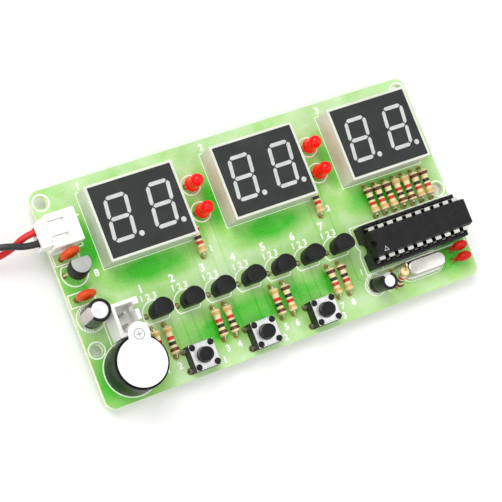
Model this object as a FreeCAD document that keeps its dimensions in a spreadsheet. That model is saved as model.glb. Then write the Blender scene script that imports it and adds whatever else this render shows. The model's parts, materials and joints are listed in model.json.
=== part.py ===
"""Six-digit LED clock board: a drilled circuit board with displays, lamps, a socketed chip, switches,
a sounder and a plug-in power lead. Millimetres, +Z up, origin on the floor under the board's centre.
Places on the board are measured from its lower left corner, heights from its upper face."""

import FreeCAD
import Part
import Sketcher
import math
import os
import re
from types import SimpleNamespace

SIZES = {
    # Circuit board; its outline follows from the displays and these margins.
    "board_thickness": 1.6,
    "board_stand": 2.2,
    "board_corner": 2.2,
    "left_margin": 10.4,
    "right_margin": 3.9,
    "top_margin": 3.35,
    "display_bottom": 29.25,
    "mount_hole": 2.8,
    "mount_edge": 2.2,
    "mount_top_edge": 2.8,
    "mount_left_height": 13.1,
    "mount_right_height": 22.0,
    "drill_clearance": 0.15,
    # Solder joints.
    "joint_width": 0.5,
    "joint_tip": 0.08,
    "joint_short": 0.4,
    # Two-digit displays.
    "display_length": 21.0,
    "display_width": 17.4,
    "display_height": 6.4,
    "display_border": 0.6,
    "face_thickness": 0.3,
    "face_clearance": 0.04,
    "carrier_thickness": 1.2,
    "carrier_wall": 0.9,
    "digit_height": 10.35,
    "digit_width": 5.7,
    "digit_pitch": 10.15,
    "digit_shift": -0.1,
    "digit_slant": 6.5,
    "segment_width": 0.88,
    "segment_gap": 0.2,
    "segment_clearance": 0.03,
    "point_diameter": 1.22,
    "point_reach": 3.33,
    "display_pin": 0.5,
    "display_row": 12.7,
    # Pitch of the pins of displays, chip and transistors.
    "pin_pitch": 2.54,
    # Red indicator lamps in the gaps between the displays.
    "lamp_diameter": 3.0,
    "lamp_flange": 3.8,
    "lamp_flange_thickness": 1.0,
    "lamp_height": 5.3,
    "lamp_dome_flat": 0.06,
    "lamp_stand": 0.9,
    "lamp_spacing": 6.4,
    "lamp_drop": 0.35,
    "lamp_room": 2.8,
    "lamp_clearance": 0.4,
    # Resistors.
    "resistor_length": 6.3,
    "resistor_diameter": 2.2,
    "resistor_waist": 1.5,
    "resistor_cap": 1.3,
    "resistor_bend": 0.66,
    "resistor_lift": 0.2,
    "wire_lead": 0.55,
    "wall_clearance": 0.15,
    "segment_resistor_gap": 0.34,
    "segment_resistor_edge": 4.76,
    "segment_resistor_low": 20.4,
    "base_pair_gap": 0.7,
    "base_pair_clearance": 0.25,
    "base_pair_end": 8.5,
    "base_resistor_low": 5.87,
    "indicator_resistor_low": 24.7,
    "reset_resistor_edge": 21.5,
    "reset_resistor_y": 3.6,
    "reset_resistor_lean": 22.0,
    "reset_resistor_knee": 0.5,
    "reset_resistor_stub": 0.6,
    "reset_return": 3.9,
    # Transistors and regulator: round bodies with one flat.
    "transistor_diameter": 4.7,
    "transistor_flat": 1.3,
    "transistor_height": 4.6,
    "transistor_stand": 1.8,
    "transistor_knee": 0.6,
    "transistor_lead_pitch": 1.27,
    "transistor_lean": 3.0,
    "transistor_first": 17.69,
    "transistor_end": 5.89,
    "transistor_row": 16.35,
    "regulator_x": 3.75,
    "regulator_y": 30.5,
    "regulator_stand": 2.8,
    "regulator_lean": 8.0,
    # Chip and socket.
    "chip_overhang": 0.1,
    "chip_width": 6.35,
    "chip_thickness": 3.3,
    "chip_draft": 0.35,
    "chip_gap": 0.4,
    "chip_notch": 1.4,
    "chip_row": 7.62,
    "leg_thickness": 0.25,
    "leg_shoulder": 1.5,
    "leg_tip": 0.5,
    "socket_height": 4.2,
    "socket_rail": 2.6,
    "socket_end": 2.2,
    "socket_slot": 1.5,
    "socket_slot_depth": 1.3,
    "socket_edge": 1.3,
    "socket_y": 14.1,
    "contact_thickness": 0.25,
    "contact_clearance": 0.08,
    # Crystal.
    "crystal_length": 10.1,
    "crystal_width": 3.7,
    "crystal_height": 3.5,
    "crystal_rim": 0.45,
    "crystal_rim_height": 0.5,
    "crystal_edge": 13.7,
    "crystal_y": 6.2,
    "crystal_pitch": 4.88,
    # Electrolytic capacitors.
    "supply_can_diameter": 5.0,
    "supply_can_height": 10.2,
    "reset_can_diameter": 4.0,
    "reset_can_height": 7.0,
    "can_stand": 0.6,
    "sleeve_thickness": 0.12,
    "sleeve_lip": 0.7,
    "bung_height": 1.4,
    "can_pitch": 2.0,
    "reset_can_edge": 26.4,
    "reset_can_y": 5.7,
    "reset_can_lean": 5.1,
    "reset_can_lean_way": 275.0,
    "supply_can_x": 3.5,
    "supply_can_y": 20.1,
    "supply_can_lean": 4.0,
    "supply_can_lean_way": 180.0,
    # Ceramic disc capacitors.
    "disc_diameter": 4.6,
    "disc_thickness": 2.2,
    "disc_rim": 0.9,
    "disc_stand": 1.7,
    "supply_disc_x": 3.2,
    "supply_disc_low": 24.7,
    "supply_disc_high": 34.35,
    "supply_disc_turn": 10.0,
    "crystal_disc_diameter": 3.6,
    "crystal_disc_edge": 4.2,
    "crystal_disc_low": 4.75,
    "crystal_disc_pitch": 2.65,
    # Push switches; each stands a growing share of the spare room away from the resistors before it.
    "switch_side": 6.0,
    "switch_share": 0.2316,
    "switch_share_step": 0.2105,
    "switch_base_height": 3.4,
    "switch_floor": 1.0,
    "switch_y": 4.13,
    "cover_thickness": 0.25,
    "cover_inset": 0.05,
    "rivet_diameter": 0.9,
    "rivet_inset": 0.75,
    "rivet_head": 0.25,
    "button_diameter": 3.4,
    "button_height": 1.85,
    "button_clearance": 0.06,
    "button_flange": 0.55,
    "button_flange_thickness": 0.6,
    "button_travel": 0.25,
    "button_stop_gap": 0.05,
    "button_nub": 1.8,
    "dome_diameter": 4.2,
    "dome_height": 0.6,
    "dome_thickness": 0.2,
    "terminal_width": 0.7,
    "terminal_thickness": 0.3,
    "terminal_reach": 0.4,
    "terminal_spacing": 4.5,
    "terminal_height": 1.0,
    # Sounder.
    "sounder_diameter": 12.0,
    "sounder_height": 9.0,
    "sounder_wall": 0.8,
    "sounder_hole": 2.0,
    "sounder_x": 8.05,
    "sounder_gap": 0.25,
    "sounder_base": 1.0,
    "sounder_clearance": 0.05,
    "sounder_ledge": 0.6,
    "coil_diameter": 5.0,
    "coil_gap": 0.3,
    "diaphragm_thickness": 0.1,
    "diaphragm_drop": 1.6,
    "sounder_pin": 0.6,
    "sounder_pitch": 7.6,
    "seal_diameter": 11.0,
    "seal_thickness": 0.12,
    "seal_tab_width": 4.8,
    "seal_tab_reach": 8.6,
    "seal_tab_turn": 76.0,
    # Headers, plug and power lead.
    "header_width": 7.5,
    "header_depth": 5.75,
    "header_height": 6.9,
    "header_wall": 0.8,
    "header_floor": 1.4,
    "header_pin": 0.64,
    "header_pitch": 2.5,
    "header_notch": 1.1,
    "header_notch_offset": 1.7,
    "header_post": 0.5,
    "spare_header_x": 9.2,
    "spare_header_y": 17.0,
    "pin_short": 0.8,
    "power_header_length": 6.7,
    "power_header_height": 6.4,
    "power_header_edge": 0.05,
    "power_header_y": 39.7,
    "plug_clearance": 0.08,
    "plug_tail": 2.45,
    "plug_gap": 0.4,
    "plug_bore": 1.9,
    "contact_side": 1.6,
    "contact_wall": 0.3,
    "contact_inset": 0.6,
    "wire_diameter": 1.5,
    "coil_radius": 8.0,
    "coil_turns": 2.3,
    "coil_x": -74.0,
    "coil_y": 5.4,
}

doc = FreeCAD.newDocument("clock_board")
sheet = doc.addObject("Spreadsheet::Sheet", "sizes")
for row, (alias, value) in enumerate(SIZES.items(), start=1):
    sheet.set(f"A{row}", alias)
    sheet.set(f"B{row}", str(value))
    sheet.setAlias(f"B{row}", alias)
doc.recompute()

S = SimpleNamespace(**{alias: float(sheet.get(alias)) for alias in SIZES})
ALIASES = re.compile(r"\b(" + "|".join(SIZES) + r")\b")
UP = FreeCAD.Vector(0, 0, 1)
ACROSS = FreeCAD.Vector(1, 0, 0)
ALONG = FreeCAD.Vector(0, 1, 0)
TOLERANCE = 0.001
nodes = []
pads = []

# Lines that several pieces share.
top = S.board_stand + S.board_thickness
resistor_radius = S.resistor_diameter / 2
resistor_span = S.resistor_length + 2 * S.resistor_bend
resistor_axis = S.resistor_lift + resistor_radius
lamp_offset = S.wall_clearance + S.resistor_diameter + S.lamp_clearance + S.lamp_flange / 2
display_pitch = S.display_length + lamp_offset + S.lamp_flange / 2 + S.lamp_room
board_length = S.left_margin + 2 * display_pitch + S.display_length + S.right_margin
board_width = S.display_bottom + S.display_width + S.top_margin
display_y = S.display_bottom + S.display_width / 2
display_x = [S.left_margin + S.display_length / 2 + i * display_pitch for i in range(3)]
socket_length = 10 * S.pin_pitch
socket_x = board_length - S.socket_edge - socket_length / 2
crystal_x = board_length - S.crystal_edge
reset_can_x = board_length - S.reset_can_edge
sounder_y = S.spare_header_y - S.header_width / 2 - S.sounder_gap - S.sounder_diameter / 2
pair_half = (S.resistor_diameter + S.base_pair_gap) / 2
pair_edge = pair_half + resistor_radius
first_pair = S.sounder_x + S.sounder_diameter / 2 + S.base_pair_clearance + pair_edge
pair_pitch = (reset_can_x - S.base_pair_end - first_pair) / 3
switch_half = S.switch_side / 2 + S.terminal_reach
switch_room = pair_pitch - 2 * pair_edge - 2 * switch_half
switch_x = [
    first_pair + i * pair_pitch + pair_edge + switch_half
    + (S.switch_share + i * S.switch_share_step) * switch_room
    for i in range(3)
]


def at(x, y, height=0.0):
    """A point of the part from a place on the board and a height over its upper face."""
    return FreeCAD.Vector(x - board_length / 2, y - board_width / 2, top + height)


def place(x, y, height=0.0, turn=0.0, axis=UP):
    return FreeCAD.Placement(at(x, y, height), FreeCAD.Rotation(axis, turn))


def formula(text):
    """A sheet expression from a formula that uses the sizes' names."""
    return ALIASES.sub(r"sizes.\1", text)


def number(text):
    return float(sheet.evalExpression(formula(text)))


def bind(item, **formulas):
    for name, text in formulas.items():
        item.setExpression(name, formula(text))
    return item


def box(name, length, width, height):
    """A box that stands centred on its own origin."""
    solid = bind(doc.addObject("Part::Box", name), Length=length, Width=width, Height=height)
    solid.Placement.Base = FreeCAD.Vector(-number(length) / 2, -number(width) / 2, 0)
    return solid


def cylinder(name, diameter, height):
    return bind(doc.addObject("Part::Cylinder", name), Radius=f"({diameter}) / 2", Height=height)


def moved(item, x=0.0, y=0.0, z=0.0):
    item.Placement.Base += FreeCAD.Vector(x, y, z)
    return item


def fused(name, *items):
    union = doc.addObject("Part::MultiFuse", name)
    union.Shapes = list(items)
    union.Refine = True
    return union


def minus(name, base, *tools):
    """The base with each tool cut away; the last cut carries the name."""
    for i, tool in enumerate(tools, start=1):
        part = doc.addObject("Part::Cut", name if i == len(tools) else f"{name}_cut_{i}")
        part.Base = base
        part.Tool = tool
        base = part
    return base


def outline(body, role, points):
    """A closed sketch of straight lines whose corners are bound to formulas."""
    sketch = body.newObject("Sketcher::SketchObject", f"{body.Name}_sketch")
    plane = next(item for item in body.Origin.OriginFeatures if item.Role == role)
    sketch.AttachmentSupport = [(plane, "")]
    sketch.MapMode = "FlatFace"
    corners = [FreeCAD.Vector(number(x), number(y), 0) for x, y in points]
    count = len(corners)
    for i, corner in enumerate(corners):
        sketch.addGeometry(Part.LineSegment(corner, corners[(i + 1) % count]), False)
    for i in range(count):
        sketch.addConstraint(Sketcher.Constraint("Coincident", i, 2, (i + 1) % count, 1))
    for i, point in enumerate(points):
        for kind, axis, text in (("DistanceX", -2, point[0]), ("DistanceY", -1, point[1])):
            if text == "0":
                sketch.addConstraint(Sketcher.Constraint("PointOnObject", i, 1, axis))
                continue
            link = sketch.addConstraint(Sketcher.Constraint(kind, -1, 1, i, 1, number(text)))
            sketch.setExpression(f"Constraints[{link}]", formula(text))
    return sketch


def turned(name, points):
    """A body turned about its own vertical axis from a profile of radius and height."""
    body = doc.addObject("PartDesign::Body", name)
    sketch = outline(body, "XZ_Plane", points)
    turn = body.newObject("PartDesign::Revolution", f"{name}_turn")
    turn.Profile = sketch
    turn.ReferenceAxis = (sketch, ["V_Axis"])
    turn.Angle = 360
    body.Tip = turn
    return body


def padded(name, role, points, height, both_ways=False):
    body = doc.addObject("PartDesign::Body", name)
    pad = body.newObject("PartDesign::Pad", f"{name}_pad")
    pad.Profile = outline(body, role, points)
    bind(pad, Length=height)
    pad.Midplane = both_ways
    body.Tip = pad
    return body


def on_top(edge, shape):
    return edge.BoundBox.ZMin > shape.BoundBox.ZMax - TOLERANCE


def upright(edge, shape):
    return edge.BoundBox.ZLength > shape.BoundBox.ZLength - TOLERANCE


def rounded(body, edges, radius):
    """Fillets the edges of a body's last feature that the test picks."""
    doc.recompute()
    base = body.Tip
    picked = [f"Edge{i}" for i, edge in enumerate(base.Shape.Edges, start=1) if edges(edge, base.Shape)]
    fillet = body.newObject("PartDesign::Fillet", f"{body.Name}_round")
    fillet.Base = (base, picked)
    bind(fillet, Radius=radius)
    body.Tip = fillet
    return body


def node(item, name, placement=None):
    """Names a finished sub-part; its file takes the same name."""
    item.Label = name
    if placement is not None:
        item.Placement = placement
    nodes.append(item)
    return item


def group(name, solids):
    """Separate solids that share one sub-part."""
    item = doc.addObject("Part::Feature", name)
    item.Shape = Part.makeCompound([solid.Solids[0] for solid in solids])
    return node(item, name)


def copies(master, placements):
    doc.recompute()
    return [placed(master.Shape, where) for where in placements]


def placed(shape, where):
    copy = shape.copy()
    copy.Placement = where.multiply(copy.Placement)
    return copy


def drill(point, radius, standing=False):
    """Notes a lead's hole; standing leads are the long ones that the part rests on."""
    pads.append((point.x, point.y, radius, standing))


def rod(start, end, radius):
    way = end - start
    return Part.makeCylinder(radius, way.Length, start, way)


def rounded_path(points, radius):
    """A wire of straight runs with a tangent arc at each inner point; radius may be a list."""
    radii = radius if isinstance(radius, list) else [radius] * (len(points) - 2)
    edges = []
    last = points[0]
    for before, corner, after, bend in zip(points, points[1:], points[2:], radii):
        back = (before - corner).normalize()
        onward = (after - corner).normalize()
        half = back.getAngle(onward) / 2
        reach = bend / math.tan(half)
        inward = (back + onward).normalize()
        middle = corner + inward * (bend / math.sin(half) - bend)
        edges.append(Part.LineSegment(last, corner + back * reach).toShape())
        edges.append(Part.Arc(corner + back * reach, middle, corner + onward * reach).toShape())
        last = corner + onward * reach
    edges.append(Part.LineSegment(last, points[-1]).toShape())
    return Part.Wire(edges)


def tube(path, radius):
    start = path.Edges[0]
    rim = Part.makeCircle(radius, start.valueAt(start.FirstParameter), start.tangentAt(start.FirstParameter))
    return path.makePipeShell([Part.Wire([rim])], True, True)


def straight_lead(x, y, height, radius, standing=False):
    """A round lead from a height over the board down to its underside."""
    drill(at(x, y), radius, standing)
    return rod(at(x, y, -S.board_thickness), at(x, y, height), radius)


def square_pin(x, y, height, side, standing=False):
    drill(at(x, y), side / math.sqrt(2), standing)
    corner = at(x - side / 2, y - side / 2, -S.board_thickness)
    return Part.makeBox(side, side, height + S.board_thickness, corner)


# Displays.

def segment_shapes(grow=0.0):
    """Flat outlines of one slanted digit and its point, centred on the digit, grown by a clearance."""
    half_wide = S.digit_width / 2 - S.segment_width / 2
    half_tall = S.digit_height / 2 - S.segment_width / 2
    corners = {
        "upper_left": (-half_wide, half_tall),
        "upper_right": (half_wide, half_tall),
        "middle_left": (-half_wide, 0),
        "middle_right": (half_wide, 0),
        "lower_left": (-half_wide, -half_tall),
        "lower_right": (half_wide, -half_tall),
    }
    bars = [
        ("upper_left", "upper_right"),
        ("middle_left", "middle_right"),
        ("lower_left", "lower_right"),
        ("upper_left", "middle_left"),
        ("middle_left", "lower_left"),
        ("upper_right", "middle_right"),
        ("middle_right", "lower_right"),
    ]
    lean = math.tan(math.radians(S.digit_slant))
    half = S.segment_width / 2 + grow
    faces = []
    for first, last in bars:
        start, end = FreeCAD.Vector(*corners[first], 0), FreeCAD.Vector(*corners[last], 0)
        way = (end - start).normalize()
        side = UP.cross(way) * half
        tip = way * (S.segment_gap - grow)
        slope = way * (S.segment_gap - grow + half)
        ring = [start + tip, start + slope + side, end - slope + side]
        ring += [end - tip, end - slope - side, start + slope - side]
        ring = [FreeCAD.Vector(p.x + lean * p.y, p.y, 0) for p in ring]
        faces.append(Part.Face(Part.makePolygon(ring + ring[:1])))
    point_centre = FreeCAD.Vector(S.point_reach, -half_tall, 0)
    faces.append(Part.Face(Part.Wire([Part.makeCircle(S.point_diameter / 2 + grow, point_centre)])))
    return faces


def display_segments(low, high, grow=0.0):
    """The fourteen bars and two points of one display as upright solids."""
    solids = []
    for way in (-0.5, 0.5):
        shift = FreeCAD.Vector(way * S.digit_pitch + S.digit_shift, 0, low)
        for face in segment_shapes(grow):
            face.translate(shift)
            solids.append(face.extrude(UP * (high - low)))
    return solids


def make_displays():
    face_low = S.display_height - S.face_thickness
    pins = []
    carriers = []
    for side, x in zip(("left", "middle", "right"), display_x):
        name = f"display_{side}"
        where = place(x, display_y)
        wells = doc.addObject("Part::Feature", f"{name}_wells")
        cavity_low = S.carrier_thickness - S.face_clearance
        wells.Shape = Part.makeCompound(display_segments(cavity_low, face_low, S.segment_clearance))
        block = box(f"{name}_block", "display_length", "display_width", "display_height")
        recess = box(
            f"{name}_recess",
            "display_length - 2 * display_border",
            "display_width - 2 * display_border",
            "face_thickness",
        )
        moved(recess, z=face_low)
        seat = box(
            f"{name}_seat",
            "display_length - 2 * carrier_wall",
            "display_width - 2 * carrier_wall",
            "carrier_thickness",
        )
        node(minus(f"{name}_housing", block, recess, seat, wells), f"{name}_housing", where)

        holes = doc.addObject("Part::Feature", f"{name}_holes")
        holes.Shape = Part.makeCompound(display_segments(face_low, S.display_height, S.segment_clearance))
        sheet_size = [f"{size} - 2 * display_border - 2 * face_clearance" for size in
                      ("display_length", "display_width")]
        film = moved(box(f"{name}_film", *sheet_size, "face_thickness"), z=face_low)
        node(minus(f"{name}_face", film, holes), f"{name}_face", where)

        bars = display_segments(S.carrier_thickness, S.display_height)
        group(f"{name}_segments", [placed(bar, where) for bar in bars])

        carrier_size = [f"{size} - 2 * carrier_wall - 2 * face_clearance" for size in
                        ("display_length", "display_width")]
        plate = box(f"{name}_plate", *carrier_size, "carrier_thickness")
        doc.recompute()
        carriers.append(placed(plate.Shape, where))
        for row in (-0.5, 0.5):
            for column in range(-2, 3):
                pin_x = x + column * S.pin_pitch
                pin_y = display_y + row * S.display_row
                pins.append(straight_lead(pin_x, pin_y, 0, S.display_pin / 2, standing=True))
    group("display_carriers", carriers)
    group("display_pins", pins)


# Indicator lamps.

def make_lamps():
    lens = turned("lamp_lens", [
        ("0", "0"),
        ("lamp_flange / 2", "0"),
        ("lamp_flange / 2", "lamp_flange_thickness"),
        ("lamp_diameter / 2", "lamp_flange_thickness"),
        ("lamp_diameter / 2", "lamp_height"),
        ("0", "lamp_height"),
    ])
    rounded(lens, on_top, "lamp_diameter / 2 - lamp_dome_flat")
    places = []
    leads = []
    for x in display_x[:2]:
        lamp_x = x + S.display_length / 2 + lamp_offset
        for way in (0.5, -0.5):
            lamp_y = display_y - S.lamp_drop + way * S.lamp_spacing
            places.append(place(lamp_x, lamp_y, S.lamp_stand))
            for side in (-0.5, 0.5):
                lead_x = lamp_x + side * S.pin_pitch
                leads.append(straight_lead(lead_x, lamp_y, S.lamp_stand, S.wire_lead / 2))
    group("indicator_lamps", copies(lens, places))
    return leads


# Transistors and regulator.

def make_transistors():
    round_part = cylinder("transistor_round", "transistor_diameter", "transistor_height")
    keep = box("transistor_keep", "transistor_diameter", "transistor_diameter", "transistor_height")
    moved(keep, y=S.transistor_diameter / 2 - S.transistor_flat)
    body = doc.addObject("Part::Common", "transistor_body")
    body.Base = round_part
    body.Tool = keep
    doc.recompute()
    tops = []
    leads = []

    def stand(x, y, height, lean, turn):
        """Places a body and bends its three leads from their holes up to its underside."""
        facing = FreeCAD.Rotation(UP, turn)
        where = FreeCAD.Placement(at(x, y, height), facing.multiply(FreeCAD.Rotation(ACROSS, -lean)))
        inside = height + S.wire_lead
        bent = [straight_lead(x, y, inside, S.wire_lead / 2)]
        for side in (-1, 1):
            way = facing.multVec(ACROSS) * side
            foot = at(x, y) + way * S.pin_pitch
            drill(foot, S.wire_lead / 2)
            path = rounded_path([
                foot - UP * S.board_thickness,
                foot + UP * S.transistor_knee,
                at(x, y, inside) + way * S.transistor_lead_pitch,
            ], S.wire_lead)
            bent.append(tube(path, S.wire_lead / 2))
        moulding = placed(body.Shape, where)
        leads.extend(lead.cut(moulding) for lead in bent)
        return where

    row_end = socket_x - socket_length / 2 - S.transistor_end
    spacing = (row_end - S.transistor_first) / 6
    for i in range(7):
        x = S.transistor_first + i * spacing
        tops.append(stand(x, S.transistor_row, S.transistor_stand, S.transistor_lean, 0))
    regulator_place = stand(S.regulator_x, S.regulator_y, S.regulator_stand, -S.regulator_lean, 180)
    group("driver_transistors", copies(body, tops))
    group("voltage_regulator", copies(body, [regulator_place]))
    return leads


# Resistors.

def make_resistors():
    half = "resistor_length / 2"
    cap = f"({half} - resistor_cap)"
    shoulder = "(resistor_diameter - resistor_waist)"
    body = turned("resistor_body", [
        ("0", f"-{half}"),
        ("resistor_waist / 2", f"-{half}"),
        ("resistor_diameter / 2", f"-{half} + {shoulder}"),
        ("resistor_diameter / 2", f"-{cap}"),
        ("resistor_waist / 2", f"-{cap} + {shoulder}"),
        ("resistor_waist / 2", f"{cap} - {shoulder}"),
        ("resistor_diameter / 2", cap),
        ("resistor_diameter / 2", f"{half} - {shoulder}"),
        ("resistor_waist / 2", half),
        ("0", half),
    ])
    leads = []
    lead_radius = S.wire_lead / 2

    def lay(x, low):
        middle = low + resistor_span / 2
        for way in (-1, 1):
            hole_y = middle + way * resistor_span / 2
            drill(at(x, hole_y), lead_radius)
            path = rounded_path([
                at(x, hole_y, -S.board_thickness),
                at(x, hole_y, resistor_axis),
                at(x, middle + way * S.resistor_length / 2, resistor_axis),
            ], S.wire_lead)
            leads.append(tube(path, lead_radius))
        return place(x, middle, resistor_axis, 90, ACROSS)

    segment_pitch = S.resistor_diameter + S.segment_resistor_gap
    last_x = board_length - S.segment_resistor_edge
    segment = [lay(last_x - i * segment_pitch, S.segment_resistor_low) for i in range(7)]
    base = [
        lay(first_pair + i * pair_pitch + side * pair_half, S.base_resistor_low)
        for i in range(4) for side in (-1, 1)
    ]
    wall = S.display_length / 2 + S.wall_clearance + resistor_radius
    indicator = [lay(x + wall, S.indicator_resistor_low) for x in display_x[:2]]
    group("segment_resistors", copies(body, segment))
    group("base_resistors", copies(body, base))
    group("indicator_resistors", copies(body, indicator))

    lean = math.radians(S.reset_resistor_lean)
    way = FreeCAD.Vector(0, math.sin(lean), math.cos(lean))
    hole = at(board_length - S.reset_resistor_edge, S.reset_resistor_y)
    knee = hole + UP * S.reset_resistor_knee
    foot = knee + way * S.reset_resistor_stub
    head = foot + way * S.resistor_length
    reset_place = FreeCAD.Placement(
        foot + way * (S.resistor_length / 2), FreeCAD.Rotation(ACROSS, -S.reset_resistor_lean)
    )
    group("reset_resistor", copies(body, [reset_place]))
    drill(hole, lead_radius)
    leads.append(tube(rounded_path([hole - UP * S.board_thickness, knee, foot], S.wire_lead), lead_radius))
    back = hole + ALONG * S.reset_return
    drill(back, lead_radius)
    crest = head + way * (3 * S.wire_lead)
    down = FreeCAD.Vector(back.x, back.y, crest.z)
    path = rounded_path([head, crest, down, back - UP * S.board_thickness], S.wire_lead * 0.8)
    leads.append(tube(path, lead_radius))
    group("resistor_leads", leads)


# Chip and socket.

def make_chip():
    rail_y = S.chip_row / 2
    socket = box("socket_block", "10 * pin_pitch", "chip_row + socket_rail", "socket_height")
    window = box("socket_window", "10 * pin_pitch - 2 * socket_end", "chip_row - socket_rail",
                 "socket_height")
    slots = doc.addObject("Part::Feature", "socket_slots")
    pin_places = [
        (socket_x + (i - 4.5) * S.pin_pitch, S.socket_y + side * rail_y, side)
        for i in range(10) for side in (-1, 1)
    ]
    slots.Shape = Part.makeCompound([
        Part.makeBox(
            S.socket_slot, S.socket_slot_depth, S.socket_height,
            FreeCAD.Vector(x - socket_x - S.socket_slot / 2, y - S.socket_y - S.socket_slot_depth / 2, 0),
        ) for x, y, side in pin_places
    ])
    notch = cylinder("socket_notch", "chip_notch * 2", "socket_height")
    moved(notch, x=-socket_length / 2)
    node(minus("chip_socket", socket, window, slots, notch), "chip_socket", place(socket_x, S.socket_y))

    chip_low = S.socket_height + S.chip_gap
    half = "chip_width / 2"
    chip = padded("chip_block", "YZ_Plane", [
        (f"-{half} + chip_draft", "0"),
        (f"{half} - chip_draft", "0"),
        (half, "chip_thickness / 2"),
        (f"{half} - chip_draft", "chip_thickness"),
        (f"-{half} + chip_draft", "chip_thickness"),
        (f"-{half}", "chip_thickness / 2"),
    ], "10 * pin_pitch + 2 * chip_overhang", both_ways=True)
    chip_mark = cylinder("chip_mark", "chip_notch", "chip_thickness")
    moved(chip_mark, x=-socket_length / 2 - S.chip_overhang, z=S.chip_thickness / 2)
    node(minus("microcontroller_body", chip, chip_mark), "microcontroller_body",
         place(socket_x, S.socket_y, chip_low))

    shoulder = chip_low + S.chip_thickness / 2
    contact_low = S.contact_thickness * 2
    legs = []
    contacts = []
    for x, y, side in pin_places:
        out = S.chip_row / 2 - S.chip_width / 2
        flat_low = shoulder - S.leg_thickness / 2
        tip_low = contact_low + 2 * S.contact_thickness
        start_y = y - side * out
        flat = Part.makeBox(
            S.leg_shoulder, out + S.leg_thickness / 2, S.leg_thickness,
            at(x - S.leg_shoulder / 2, min(start_y, y + side * S.leg_thickness / 2), flat_low),
        )
        blade = Part.makeBox(
            S.leg_shoulder, S.leg_thickness, shoulder - S.socket_height - S.leg_thickness / 2,
            at(x - S.leg_shoulder / 2, y - S.leg_thickness / 2, S.socket_height + S.leg_thickness),
        )
        tip = Part.makeBox(
            S.leg_tip, S.leg_thickness, flat_low - tip_low,
            at(x - S.leg_tip / 2, y - S.leg_thickness / 2, tip_low),
        )
        legs.append(flat.multiFuse([blade, tip]).removeSplitter())

        plate_y = y + side * (S.leg_thickness / 2 + S.contact_clearance + S.contact_thickness / 2)
        plate = Part.makeBox(
            S.leg_tip * 2, S.contact_thickness, S.socket_height - contact_low - S.contact_thickness,
            at(x - S.leg_tip, plate_y - S.contact_thickness / 2, contact_low),
        )
        foot_reach = abs(plate_y - y) + S.contact_thickness / 2 + S.wire_lead / 2
        foot_edges = (y - side * S.wire_lead / 2, y + side * (foot_reach - S.wire_lead / 2))
        foot = Part.makeBox(
            S.leg_tip * 2, foot_reach, S.contact_thickness,
            at(x - S.leg_tip, min(foot_edges), contact_low),
        )
        stem = straight_lead(x, y, contact_low + S.contact_thickness / 2, S.wire_lead / 2, standing=True)
        contacts.append(plate.multiFuse([foot, stem]))
    group("microcontroller_legs", legs)
    group("socket_contacts", contacts)


# Crystal.

def oblong(name, length, width, height):
    """A bar with half-round ends."""
    bar = box(f"{name}_bar", f"{length} - ({width})", width, height)
    shift = (number(length) - number(width)) / 2
    ends = [moved(cylinder(f"{name}_end_{i}", width, height), x=way * shift) for i, way in enumerate((-1, 1))]
    return fused(name, bar, *ends)


def make_crystal():
    base = oblong("crystal_base", "(crystal_length + 2 * crystal_rim)",
                  "(crystal_width + 2 * crystal_rim)", "crystal_rim_height")
    can = oblong("crystal_can", "crystal_length", "crystal_width", "crystal_height - crystal_rim_height")
    node(base, "crystal_base", place(crystal_x, S.crystal_y))
    node(can, "crystal_can", place(crystal_x, S.crystal_y, S.crystal_rim_height))
    return [
        straight_lead(crystal_x + way * S.crystal_pitch / 2, S.crystal_y, 0, S.wire_lead / 2)
        for way in (-1, 1)
    ]


# Capacitors.

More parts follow.
